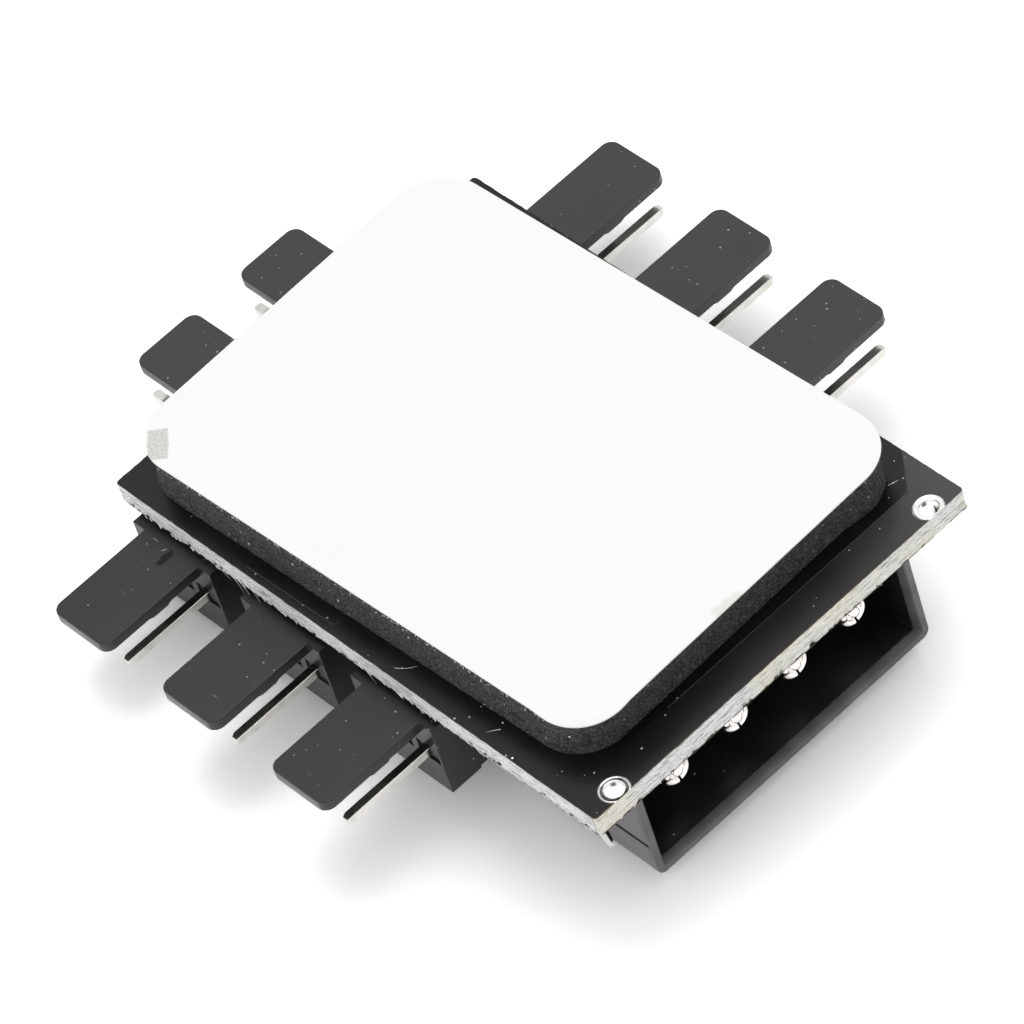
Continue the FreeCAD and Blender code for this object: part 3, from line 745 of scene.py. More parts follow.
def mask_material(dust, grain):
    """Black solder mask: smooth, slightly uneven gloss, browner where it thins at the rim, and
    paler past the copper's edge, with a painted reflection there, dark by the pad and paler far off."""
    material, tree, shader = new_material("black_solder_mask", IOR=1.37)
    place = object_place(tree)
    detail = grouped(tree, grain, {"Position": place, "Grain per m": 2600.0})
    specks = grouped(tree, dust, {"Position": place, "Spacing per m": 3000.0, "Share": 0.05,
                                  "Size": 0.27})
    rim = add(tree, "ShaderNodeAttribute", attribute_name="rim").outputs["Fac"]
    along, across, _ = axes(tree, place)
    soft = POUR_SOFTNESS * MM
    edge = x_at(POUR_EDGE_X)
    corner = at(*POUR_CORNER, BOARD_THICKNESS)
    line = corner.x * POUR_SLANT + corner.y
    slant = maths(tree, "ADD", maths(tree, "MULTIPLY", along, POUR_SLANT), across)
    beyond = maths(tree, "MAXIMUM", ramp(tree, along, edge - soft, edge + soft),
                   ramp(tree, slant, line - soft, line + soft))
    # Painted reflection: past the copper's edge the mask runs from dark by the pad to paler at the far
    # side.
    bare_with_reflection = blend_colours(tree, ramp(tree, across, y_at(3), y_at(16)), BARE_PAINTED_DARK_NEAR, BARE_PAINTED_MIDDLE)
    bare_with_reflection = blend_colours(tree, ramp(tree, across, y_at(21.5), y_at(30.5)), bare_with_reflection, BARE_PAINTED_SHEEN_FAR)
    colour = blend_colours(tree, detail.outputs["Shade"], MASK_BLACK, MASK_LIGHTER)
    colour = blend_colours(tree, beyond, colour, bare_with_reflection)
    power_end = ramp(tree, along, x_at(43.9), x_at(44.2), 0.25, 1.0)
    colour = blend_colours(tree, maths(tree, "MULTIPLY", rim, power_end), colour, MASK_RIM_BROWN)
    colour = blend_colours(tree, specks.outputs["Mask"], colour, MASK_SPECK)
    finish_shader(tree, shader, Base_Color=colour,
                  Roughness=ramp(tree, detail.outputs["Shade"], 0.3, 0.7, 0.21, 0.29),
                  Normal=bump(tree, detail.outputs["Height"], 0.004, 0.35))
    return material


def two_tone_material(name, blotches_per_m, first, second, **sockets):
    """Plain material that drifts between two colours."""
    material, tree, shader = new_material(name, **sockets)
    shade = noise_value(tree, object_place(tree), blotches_per_m)
    finish_shader(tree, shader, Base_Color=blend_colours(tree, shade, first, second))
    return material


def mask_step_material():
    """Mask where it steps over the copper's edge: thinner and duller than the rest."""
    return two_tone_material("solder_mask_step", 1500.0, (0.02, 0.021, 0.02, 1),
                             (0.05, 0.051, 0.05, 1), Roughness=0.4, IOR=1.52)


def shadow_strip_material():
    """Very dark, dull strip behind the corner flake: painted shadow."""
    return two_tone_material("painted_shadow_strip", 1500.0, (0.001, 0.001, 0.001, 1),
                             (0.004, 0.004, 0.004, 1), Roughness=0.9, Specular_IOR_Level=0.1)


def dull_spot_material():
    """Dull dark spot on a moulded face."""
    return two_tone_material("dull_dark_spot", 2600.0, (0.004, 0.004, 0.004, 1),
                             (0.010, 0.010, 0.010, 1), Roughness=0.7, Specular_IOR_Level=0.25)


def loose_fibre_material():
    """Loose glass fibre: the laminate's pale colour without its layers."""
    return two_tone_material("loose_glass_fibre", 700.0, (0.62, 0.66, 0.62, 1),
                             (0.86, 0.88, 0.85, 1), Roughness=0.45)


def foam_material(dust):
    """Open-cell black foam: deep pits between matt walls, painted light on the near side's upper part,
    and a few painted glints.
    """
    material, tree, shader = new_material("black_open_cell_foam", Roughness=0.85, IOR=1.45)
    place = object_place(tree)
    _, level, _ = axes(tree, run_place(tree))
    _, across, _ = axes(tree, place)
    cells = add(tree, "ShaderNodeTexVoronoi", {"Vector": place, "Scale": 6500.0},
                feature="DISTANCE_TO_EDGE").outputs["Distance"]
    coarse = noise_value(tree, place, 1500.0, 4.0, 0.65)
    fine = noise_value(tree, place, 6800.0, 1.0, 0.5)
    specks = grouped(tree, dust, {"Position": place, "Spacing per m": 3600.0, "Share": 0.06,
                                  "Size": 0.34})
    glints = grouped(tree, dust, {"Position": place, "Spacing per m": 1700.0, "Share": 0.33,
                                  "Size": 0.17})
    # Painted light: the near side's upper part is made paler.
    near = ramp(tree, across, y_at(4.6), y_at(2.6))
    upper = ramp(tree, level, RIM_LEVEL - 2.0, RIM_LEVEL + 0.4, 0.12, 1.0)
    lit_rim = maths(tree, "MULTIPLY", near, upper)
    lit_rim = maths(tree, "MULTIPLY", lit_rim, ramp(tree, fine, 0.45, 0.60, 0.1, 1.0))
    # Painted glints, most on the near side.
    bright = maths(tree, "MULTIPLY", glints.outputs["Mask"], ramp(tree, near, 0.0, 1.0, 0.45, 1.0))
    colour = blend_colours(tree, ramp(tree, coarse, 0.36, 0.68), FOAM_BLACK, FOAM_WALL)
    colour = blend_colours(tree, ramp(tree, fine, 0.52, 0.64), colour, FOAM_FINE_WALL)
    colour = blend_colours(tree, lit_rim, colour, FOAM_PAINTED_LIGHT)
    colour = blend_colours(tree, specks.outputs["Mask"], colour, FOAM_SPECK)
    colour = blend_colours(tree, bright, colour, FOAM_GLINT)
    height = maths(tree, "ADD", maths(tree, "MULTIPLY", cells, 1.4), coarse)
    finish_shader(tree, shader, Base_Color=colour, Normal=bump(tree, height, 0.09, 0.9))
    return material


def liner_material():
    """White release paper with a faint smudge by the power end and a patch of painted grey shade by a
    corner.
    """
    material, tree, shader = new_material("white_release_paper", Roughness=0.55, IOR=1.45)
    place = object_place(tree)
    grain = noise_value(tree, place, 5600.0, 3.0, 0.6)
    colour = blend_colours(tree, noise_value(tree, place, 120.0), LINER_WHITE, LINER_LIGHTER)
    for centre, reach, tint, strength in LINER_MARKS:
        apart = distance_from(tree, place, centre)
        ragged = maths(tree, "MULTIPLY", noise_value(tree, place, 1500.0, 4.0, 0.7), reach * MM * 0.9)
        edge = maths(tree, "ADD", apart, ragged)
        mark = ramp(tree, edge, reach * MM * 1.05, reach * MM * 1.55, strength, 0.0)
        colour = blend_colours(tree, mark, colour, tint)
    # Painted shade: a grey, speckled patch by the fan-end corner.
    speckled_shade = blend_colours(tree, ramp(tree, grain, 0.38, 0.62), SHADE_PATCH_DARK, SHADE_PATCH_LIGHT)
    colour = blend_colours(tree, strip_mask(tree, place, LINER_SHADE_PATCH), colour, speckled_shade)
    finish_shader(tree, shader, Base_Color=colour, Normal=bump(tree, grain, 0.004, 0.25))
    return material


def strip_mask(tree, place, strip):
    """Mask of a turned rectangle on the object, with a slightly ragged edge."""
    centre, length, width, turn_deg = strip
    turn = math.radians(-turn_deg)
    shift = -(Matrix.Rotation(turn, 3, "Z") @ at(*centre))
    local = stretched(tree, place, (1, 1, 1), (0, 0, turn), shift)
    along, across, _ = axes(tree, local)
    ragged = maths(tree, "MULTIPLY", noise_value(tree, place, 2200.0, 3.0, 0.6), 0.3 * MM)
    masks = []
    for value, reach in ((along, length / 2), (across, width / 2)):
        apart = maths(tree, "ADD", maths(tree, "ABSOLUTE", value), ragged)
        masks.append(ramp(tree, apart, (reach + 0.12) * MM, (reach + 0.22) * MM, 1.0, 0.0))
    return maths(tree, "MULTIPLY", masks[0], masks[1])


def plastic_material(name, dust, grain, base, light, roughness, dust_share, bump_mm, lip_x=None,
                     painted_sheen=None, painted_light_face=None):
    """Black moulded plastic with a fine grain, slow gloss changes, scuffs and a little dust.

    Past lip_x the mouth's lead takes painted light, the far and end rows a painted sheen, and one face
    painted light, palest at its lower edge.
    """
    material, tree, shader = new_material(name, IOR=1.5)
    place = object_place(tree)
    detail = grouped(tree, grain, {"Position": place, "Grain per m": 5200.0})
    specks = grouped(tree, dust, {"Position": place, "Spacing per m": 3000.0, "Share": dust_share,
                                  "Size": 0.24})
    along, across, upwards = axes(tree, place)
    colour = blend_colours(tree, detail.outputs["Shade"], base, light)
    # Painted sheen: the far and end tabs made lighter.
    if painted_sheen:
        far = ramp(tree, across, y_at(30.5), y_at(32))
        end = ramp(tree, along, x_at(0.6), x_at(-0.6))
        colour = blend_colours(tree, maths(tree, "MAXIMUM", far, end), colour, painted_sheen)
    # Painted light: the face toward the near side made paler, palest along its lower edge.
    if painted_light_face:
        face_y, shade, low_z, low_shade = painted_light_face
        outer = ramp(tree, across, y_at(face_y + 0.06), y_at(face_y + 0.02))
        under = ramp(tree, upwards, z_at(low_z + 0.1), z_at(low_z - 0.06))
        pale = blend_colours(tree, under, (shade, shade * 0.97, shade * 0.93, 1),
                             (low_shade, low_shade * 0.97, low_shade * 0.93, 1))
        colour = blend_colours(tree, outer, colour, pale)
    colour = blend_colours(tree, specks.outputs["Mask"], colour, PLASTIC_DUST)
    lines = noise_value(tree, stretched(tree, place, (700, 6500, 700), (0, 0, 0.5)), 1.0)
    where = noise_value(tree, place, 420.0, 1.0)
    scuffs = maths(tree, "MULTIPLY", ramp(tree, lines, 0.70, 0.75), ramp(tree, where, 0.54, 0.62))
    colour = blend_colours(tree, scuffs, colour, PLASTIC_SCUFF)
    # Painted light on the mouth's lead, unevenly dim and bright.
    if lip_x:
        ragged = maths(tree, "MULTIPLY", noise_value(tree, place, 1800.0, 3.0), 0.12 * MM)
        lip = ramp(tree, maths(tree, "ADD", along, ragged), x_at(lip_x), x_at(lip_x) + 0.08 * MM)
        lit_lead = blend_colours(tree, ramp(tree, where, 0.35, 0.65), LIP_PAINTED_LIGHT_DIM, LIP_PAINTED_LIGHT_BRIGHT)
        colour = blend_colours(tree, lip, colour, lit_lead)
    finish_shader(tree, shader, Base_Color=colour,
                  Roughness=ramp(tree, detail.outputs["Shade"], 0.3, 0.7, *roughness),
                  Normal=bump(tree, detail.outputs["Height"], bump_mm, 0.4))
    return material


def header_plastic(dust, grain):
    """Matt black of the fan headers, with painted light on the near tabs' tips and a painted sheen on the
    far and end tabs.
    """
    return plastic_material("matt_black_header_plastic", dust, grain, (0.0058, 0.0059, 0.0062, 1),
                            (0.0098, 0.0099, 0.0103, 1), (0.32, 0.44), 0.13, 0.01,
                            painted_sheen=(0.020, 0.021, 0.022, 1), painted_light_face=PAINTED_LIGHT_TAB_TIPS)


def socket_plastic(dust, grain):
    """Glossier black of the power socket, with painted light on the lead at its mouth and on its near
    wall.
    """
    return plastic_material("gloss_black_socket_plastic", dust, grain, (0.004, 0.004, 0.0042, 1),
                            (0.007, 0.007, 0.0073, 1), (0.26, 0.38), 0.03, 0.006,
                            lip_x=MOUTH_LEAD_X, painted_light_face=PAINTED_LIGHT_SOCKET_WALL)


def metal_material(name, grain):
    """Tinned metal with slow stains, fine unevenness and, on one eyelet, a dark band round its hole."""
    colour, dull, roughness, bump_mm, grain_size = METALS[name]
    material, tree, shader = new_material(name, Metallic=1.0)
    place = object_place(tree)
    detail = grouped(tree, grain, {"Position": place, "Grain per m": grain_size})
    stain = noise_value(tree, place, 900.0, 3.0)
    shade = blend_colours(tree, ramp(tree, stain, 0.4, 0.75), colour, dull)
    if name in STAINS:
        centre, inner, outer = STAINS[name]
        apart = distance_from(tree, place, centre, flat=True)
        begun = ramp(tree, apart, (inner - 0.02) * MM, (inner + 0.04) * MM)
        ended = ramp(tree, apart, (outer - 0.04) * MM, (outer + 0.02) * MM, 1.0, 0.0)
        band = maths(tree, "MULTIPLY", begun, ended)
        band = maths(tree, "MULTIPLY", band, ramp(tree, stain, 0.35, 0.6, 0.8, 1.0))
        shade = blend_colours(tree, band, shade, STAIN_DARK)
    finish_shader(tree, shader, Base_Color=shade,
                  Roughness=ramp(tree, stain, 0.3, 0.7, *roughness),
                  Normal=bump(tree, detail.outputs["Height"], bump_mm, 0.5))
    return material


# Places of the repeated parts


def fan_leg_places():
    """Place on the board of every leg of the fan headers."""
    legs = []
    offsets = [-PIN_PITCH, 0, PIN_PITCH]
    for number in range(LONG_ROW_COUNT):
        near = NEAR_ROW_START + HEADER_WIDTH / 2 + number * NEAR_ROW_PITCH
        far = FAR_ROW_START + HEADER_WIDTH / 2 + number * FAR_ROW_PITCH
        legs += [(near + offset, PIN_LEG_SETBACK) for offset in offsets]
        legs += [(far + offset, BOARD_WIDTH - PIN_LEG_SETBACK) for offset in offsets]
    for number in range(END_ROW_COUNT):
        middle = END_ROW_START + HEADER_WIDTH / 2 + number * END_ROW_PITCH
        legs += [(PIN_LEG_SETBACK, middle + offset) for offset in offsets]
    return legs


def tail_places():
    return [(TAIL_X, SOCKET_CENTRE_Y + (number - (POWER_PIN_COUNT - 1) / 2) * POWER_PIN_PITCH)
            for number in range(POWER_PIN_COUNT)]


def board_holes(fan_radius, tail_radius, corner_radius):
    holes = [(x, y, fan_radius) for x, y in fan_leg_places()]
    holes += [(x, y, tail_radius) for x, y in tail_places()]
    return holes + [(CORNER_HOLE_X, y, corner_radius) for y in CORNER_HOLE_Y]


# Making the board, its masks and its corner rings


def board_outline(step):
    return placed_outline(rounded_outline(BOARD_LENGTH, BOARD_WIDTH, BOARD_CORNER_RADIUS, step),
                          0, BOARD_LENGTH / 2, BOARD_WIDTH / 2)


def laminate_board(material):
    """The board's core, its sides torn by the saw and chipped along the lower edge."""
    low, high = MASK_THICKNESS, BOARD_THICKNESS - MASK_THICKNESS
    levels = [low + (high - low) * n / (SAWN_LEVELS - 1) for n in range(SAWN_LEVELS)]

    def surface(point, out, run, level):
        streak = noise.fractal(Vector((run * 0.9, level * 6.0, 3.0)), 0.9, 2.1, 3)
        grit = noise.noise(Vector((run * 5.0, level * 7.0, 9.0)))
        inward = SAWN_DEPTH * (0.55 + 0.45 * streak + 0.25 * grit)
        rise = 0.0
        share = (level - low) / (high - low)
        if share < CHIPPED_SHARE:
            chip = noise.fractal(Vector((run * 2.3, 1.0, 5.0)), 0.7, 2.2, 4)
            flake = 0.55 * noise.cell(Vector((run * 1.9, 4.0, 2.0))) - 0.15
            bite = min(max(0.0, chip + flake), 1.0) * (1 - share / CHIPPED_SHARE)
            inward += CHIP_DEPTH * bite
            rise = CHIP_RISE * bite
        from_hole = min(abs(point.y - y) for y in CORNER_HOLE_Y)
        beside_hole = point.x > BOARD_LENGTH - END_CLEARANCE and from_hole < HOLE_WALL_REACH
        inward = min(max(inward, 0.0), HOLE_WALL_TEAR if beside_hole else DEEPEST_TEAR)
        if level > high - 1e-6:
            inward, rise = inward * TORN_SHARE_AT_TOP, 0.0
        if level < low + 1e-6:
            rise = 0.0
        place = point - out * inward
        return place.x, place.y, level + rise

    holes = board_holes(FAN_HOLE_RADIUS, TAIL_HOLE_RADIUS, CORNER_HOLE_RADIUS)
    mesh = drilled_plate("laminate_board", board_outline(SAWN_STEP), levels, surface, holes)
    piece = new_piece("laminate_board", mesh, material, "laminate")
    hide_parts("circuit_board")


def mask_layer(name, node, z0, seed, material):
    """One solder mask, its rim broken a little by the saw."""
    def surface(point, out, run, level):
        ragged = noise.fractal(Vector((run * 2.2, seed, 0.0)), 0.9, 2.1, 4)
        place = point - out * min(max(MASK_RAGGED * (0.8 + ragged), 0.0), DEEPEST_RAGGED)
        return place.x, place.y, level

    holes = board_holes(FAN_FILLET_RADIUS + MASK_CLEARANCE, TAIL_FILLET_RADIUS + MASK_CLEARANCE,
                        CORNER_RING_RADIUS + MASK_CLEARANCE)
    mesh = mask_plate(name, board_outline(SAWN_STEP), (z0, z0 + MASK_THICKNESS), surface, holes)
    piece = new_piece(name, mesh, material, "mask")
    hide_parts(node)


def mask_plate(name, outline, levels, surface, holes):
    """Thin drilled plate whose rim band has its own attribute, for the colour of thinned mask."""
    lengths = run_lengths(outline)
    outer = [Vector(surface(point, out, run, levels[1])[:2])
             for (point, out), run in zip(outline, lengths)]
    inner = [p - out * RIM_BAND for p, (_, out) in zip(outer, outline)]
    broken = [hole for hole in holes if hole[0] + hole[2] > BOARD_LENGTH - RIM_BAND]
    whole = [hole for hole in holes if hole not in broken]
    for hole in broken:
        outer, inner = led_round(outer, inner, hole)
    hole_rings = [circle_points(x, y, radius, MASK_HOLE_SIDES) for x, y, radius in whole]
    count = len(outer)
    flat = outer + inner + [p for ring in hole_rings for p in ring]
    size = len(flat)
    points = [(p.x, p.y, levels[0]) for p in flat] + [(p.x, p.y, levels[1]) for p in flat]
    faces = []
    for n in range(count):
        m = (n + 1) % count
        faces.append((n, m, m + size, n + size))
        faces.append((n, n + count, m + count, m))
        faces.append((n + size, m + size, m + count + size, n + count + size))
    rings = [inner] + hole_rings
    for up in (False, True):
        for face in sheet_faces(rings, whole):
            corners = [count + n + (size if up else 0) for n in face]
            if upward(points, corners) != up:
                corners.reverse()
            faces.append(tuple(corners))
    start = 2 * count
    for ring in hole_rings:
        for n in range(len(ring)):
            a, b = start + n, start + (n + 1) % len(ring)
            faces.append((b, a, a + size, b + size))
        start += len(ring)
    mesh = mesh_from(name, points, faces)
    rim = mesh.attributes.new("rim", "FLOAT", "POINT")
    values = [1.0 if n % size < count else 0.0 for n in range(2 * size)]
    rim.data.foreach_set("value", values)
    return mesh


def led_round(outer, inner, hole):
    """Both rim lines led round an opening that breaks through the board's end."""
    x, y, radius = hole
    centre = Vector((x, y))
    inside = [n for n in range(len(outer)) if (outer[n] - centre).length < radius
              or (inner[n] - centre).length < radius + RIM_BAND]
    first, last = inside[0], inside[-1]
    led = []
    for line, reach in ((outer, radius), (inner, radius + RIM_BAND)):
        beyond = line[first].x - x
        start = math.acos(beyond / reach)
        arc = []
        for n in range(ARC_STEPS + 1):
            angle = -start - (2 * math.pi - 2 * start) * n / ARC_STEPS
            arc.append(Vector((x + reach * math.cos(angle), y + reach * math.sin(angle))))
        led.append(line[:first] + arc + line[last + 1:])
    return led


def eyelet(name, node, y, material):
    """Tinned ring on both faces and the plated wall between them, cut off at the board's end."""
    low, high = MASK_THICKNESS, BOARD_THICKNESS - MASK_THICKNESS
    inner = CORNER_HOLE_RADIUS - EYELET_WALL
    width = CORNER_RING_RADIUS - inner
    crown = [(inner + width * share, EYELET_CROWN * rise) for share, rise in EYELET_SECTION]
    profile = [(CORNER_RING_RADIUS, high)] + [(radius, high + rise) for radius, rise in crown]
    profile += [(inner, high - EYELET_LIP), (inner, low + EYELET_LIP)]
    profile += [(radius, low - rise) for radius, rise in reversed(crown)]
    profile += [(CORNER_RING_RADIUS, low), (CORNER_HOLE_RADIUS, low), (CORNER_HOLE_RADIUS, high)]
    points = []
    for n in range(EYELET_SIDES):
        angle = 2 * math.pi * n / EYELET_SIDES
        for radius, z in profile:
            x = min(CORNER_HOLE_X + radius * math.cos(angle), BOARD_LENGTH - END_CLEARANCE)
            points.append((x, y + radius * math.sin(angle), z))
    faces = [(a, d, c, b) for a, b, c, d in quads(0, EYELET_SIDES, len(profile), closed=True)]
    mesh = mesh_from(name, points, faces)
    smooth(mesh, ROLLED_SHARP_DEG)
    piece = new_piece(name, mesh, material, "solder_metal")
    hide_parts(node)


def ribbon(points, faces, path, width, z0, z1):
    """Adds a flat-topped line with sloping sides along a path on the board."""
    start = len(points)
    for n, place in enumerate(path):
        before, after = path[max(n - 1, 0)], path[min(n + 1, len(path) - 1)]
        along = (Vector(after) - Vector(before)).normalized()
        side = Vector((-along.y, along.x)) * width / 2
        for share, z in ((1.6, z0), (1.0, z1), (-1.0, z1), (-1.6, z0)):
            point = Vector(place) + side * share
            points.append((point.x, point.y, z))
    for a, b, c, d in quads(start, len(path), 4):
        faces.append((a, b, c, d) if z1 < z0 else (a, d, c, b))
    end = start + 4 * (len(path) - 1)
    caps = [(start, start + 1, start + 2, start + 3), (end + 3, end + 2, end + 1, end)]
    faces += [tuple(reversed(cap)) for cap in caps] if z1 < z0 else caps


def mask_lines(name, paths, z0, rise, material):
    """Fine raised lines in the mask where it steps over the copper beneath."""
    points, faces = [], []
    for path, width in paths:
        ribbon(points, faces, path, width, z0 - math.copysign(0.02, rise), z0 + rise)
    new_piece(name, mesh_from(name, points, faces), material, "mask")


# Making the foam pad and liner


def pad_outline(grow, step):
    outline = rounded_outline(PAD_LENGTH + 2 * grow, PAD_WIDTH + 2 * grow,
                              FOAM_CORNER_RADIUS + grow, step)
    return placed_outline(outline, PAD_TURN_DEG, PAD_CENTRE_X, PAD_CENTRE_Y)


def curl_drop(place, inset):
    """How far the pad's rim bends down near the corner where the liner is curled."""
    apart = (Vector(place[:2]) - Vector(CURL_PLACE)).length
    share = max(0.0, 1 - (apart / CURL_REACH) ** 2)
    near_rim = max(0.0, 1 - inset / CURL_WIDTH)
    return CURL_DROP * share * near_rim * near_rim


def foam_lean(point, share):
    """How far the foam's side is set off from its face's outline, most at its base."""
    turn = Matrix.Rotation(math.radians(PAD_TURN_DEG), 2)
    along = (turn.inverted() @ (point - Vector((PAD_CENTRE_X, PAD_CENTRE_Y)))).x
    straight = PAD_LENGTH / 2 - FOAM_CORNER_RADIUS
    place = min(max((along / straight + 1) / 2, 0.0), 1.0)
    shift = BASE_IN_FAN_END + (-BASE_IN_POWER_END - BASE_IN_FAN_END) * place
    return turn @ Vector((shift, -BASE_OUT_NEAR)) * (1 - share)


def foam_cells(place, level):
    """Depth of the cut cells at one point of the foam's side, from 0 to 1."""
    spot = Vector((place.x, place.y, level))
    distances, _ = noise.voronoi(spot * 3.6)
    cell = max(0.0, 1 - distances[0] * 2.1)
    grit = noise.noise(spot * 7.5 + Vector((5, 2, 8)))
    return min(max(0.45 * cell + 0.4 + 0.42 * grit, 0.0), 1.0)


def foam_body(material):
    """Black foam pad: sides with open cut cells, a lightly pressed upper rim, and hollows
    underneath where the solder joints press in."""
    low, high = BOARD_THICKNESS, BOARD_THICKNESS + FOAM_THICKNESS
    levels = [low + (high - low) * n / (FOAM_LEVELS - 1) for n in range(FOAM_LEVELS)]

    def surface(point, out, run, level):
        share = (level - low) / (high - low)
        wander = noise.noise(Vector((run * 0.22, share * 1.1, 4.0))) * FOAM_WANDER
        waist = FOAM_WAIST * math.sin(math.pi * share) ** 2
        rim = FOAM_RIM_PRESS * max(0.0, (share - 1 + FOAM_RIM_SHARE) / FOAM_RIM_SHARE) ** 2
        inward = FOAM_INSET + wander * 0.5 + FOAM_WANDER * 0.5 + waist + rim
        inward += FOAM_PIT_DEPTH * foam_cells(point, level)
        inward = max(inward, 0.0)
        apart = (point - Vector(BULGE_PLACE)).length / BULGE_REACH
        inward -= BULGE_OUT * (1 - share) * max(0.0, 1 - apart * apart)
        place = point + foam_lean(point, share) - out * inward
        pressed = curl_drop(place, inward) * share
        dent = FOAM_DENT * max(0.0, noise.noise(Vector((run * 1.3, 2.0, 7.0)))) * share ** 6
        return place.x, place.y, level - pressed - dent

    pockets = [(x, y, FAN_FILLET_RADIUS + FOAM_POCKET_CLEARANCE) for x, y in fan_leg_places()]
    heights = [PIN_PROTRUSION + FOAM_POCKET_CLEARANCE] * len(pockets)
    pockets += [(x, y, TAIL_FILLET_RADIUS + FOAM_POCKET_CLEARANCE) for x, y in tail_places()]
    heights += [TAIL_PROTRUSION + FOAM_POCKET_CLEARANCE] * POWER_PIN_COUNT
    mesh = drilled_plate("foam_pad_body", pad_outline(0, FOAM_STEP), levels, surface, pockets,
                         heights)
    piece = new_piece("foam_pad_body", mesh, material, "foam")
    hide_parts("foam_pad")


def liner_sheet(material):
    """Release liner: a thin white sheet, flat but for its rim and one curled corner."""
    outline = pad_outline(LINER_OVERHANG, LINER_STEP)
    lengths = run_lengths(outline)
    count = len(outline)
    rows = len(LINER_INSETS)
    points, faces = [], []
    for z in (LINER_FACE_Z, LINER_FACE_Z - LINER_THICKNESS * LINER_SHEET_SHARE):
        for inset in LINER_INSETS:
            for (point, out), run in zip(outline, lengths):
                place = point - out * inset
                slack = 0.5 + 0.5 * noise.noise(Vector((run * 0.35, 1.0, 6.0)))
                slack *= LINER_SLACK * max(0.0, 1 - inset / LINER_SLACK_WIDTH)
                points.append((place.x, place.y, z - curl_drop(place, inset) - slack))
    for side in range(2):
        base = side * rows * count
        strips = quads(base, rows, count)
        faces += strips if side == 0 else [tuple(reversed(face)) for face in strips]
        inner = base + (rows - 1) * count
        ring = [Vector(points[inner + n][:2]) for n in range(count)]
        for face in sheet_faces([ring], []):
            corners = [inner + n for n in face]
            if upward(points, corners) != (side == 0):
                corners.reverse()
            faces.append(tuple(corners))
    under = rows * count
    for n in range(count):
        m = (n + 1) % count
        faces.append((m, n, n + under, m + under))
    mesh = mesh_from("release_liner_sheet", points, faces)
    smooth(mesh, LINER_SHARP_DEG)
    piece = new_piece("release_liner_sheet", mesh, material, "liner")
    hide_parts("release_liner")


# Making the torn fibres, crumbs, grains and marks


def hair(points, faces, path, radius):
    """Adds a fine tapering round fibre along a path of places on the board."""
    start = len(points)
    path = [Vector(place) for place in path]
    last = len(path) - 1
    for n, place in enumerate(path):
        along = (path[min(n + 1, last)] - path[max(n - 1, 0)]).normalized()
        across = along.orthogonal().normalized()
        third = along.cross(across)
        thin = radius * (1.0 - FIBRE_TAPER * n / last)
        for k in range(FIBRE_SIDES):
            angle = 2 * math.pi * k / FIBRE_SIDES
            spot = place + (across * math.cos(angle) + third * math.sin(angle)) * thin
            points.append(tuple(spot))
    faces += quads(start, len(path), FIBRE_SIDES)
    faces.append(tuple(start + k for k in reversed(range(FIBRE_SIDES))))
    faces.append(tuple(start + last * FIBRE_SIDES + k for k in range(FIBRE_SIDES)))


def curved_path(start, end, bow, steps=8):
    """Places from start to end, bowed sideways most at the middle."""
    a, b, side = Vector(start), Vector(end), Vector(bow)
    return [a.lerp(b, n / steps) + side * math.sin(math.pi * n / steps) for n in range(steps + 1)]


def torn_fibres(material):
    """Single long fibres that hang from the board's lower edge."""
    points, faces = [], []
    for start, end, bow, radius in TORN_FIBRES:
        hair(points, faces, curved_path(start, end, bow), radius)
    new_piece("torn_fibres", mesh_from("torn_fibres", points, faces), material, "laminate")


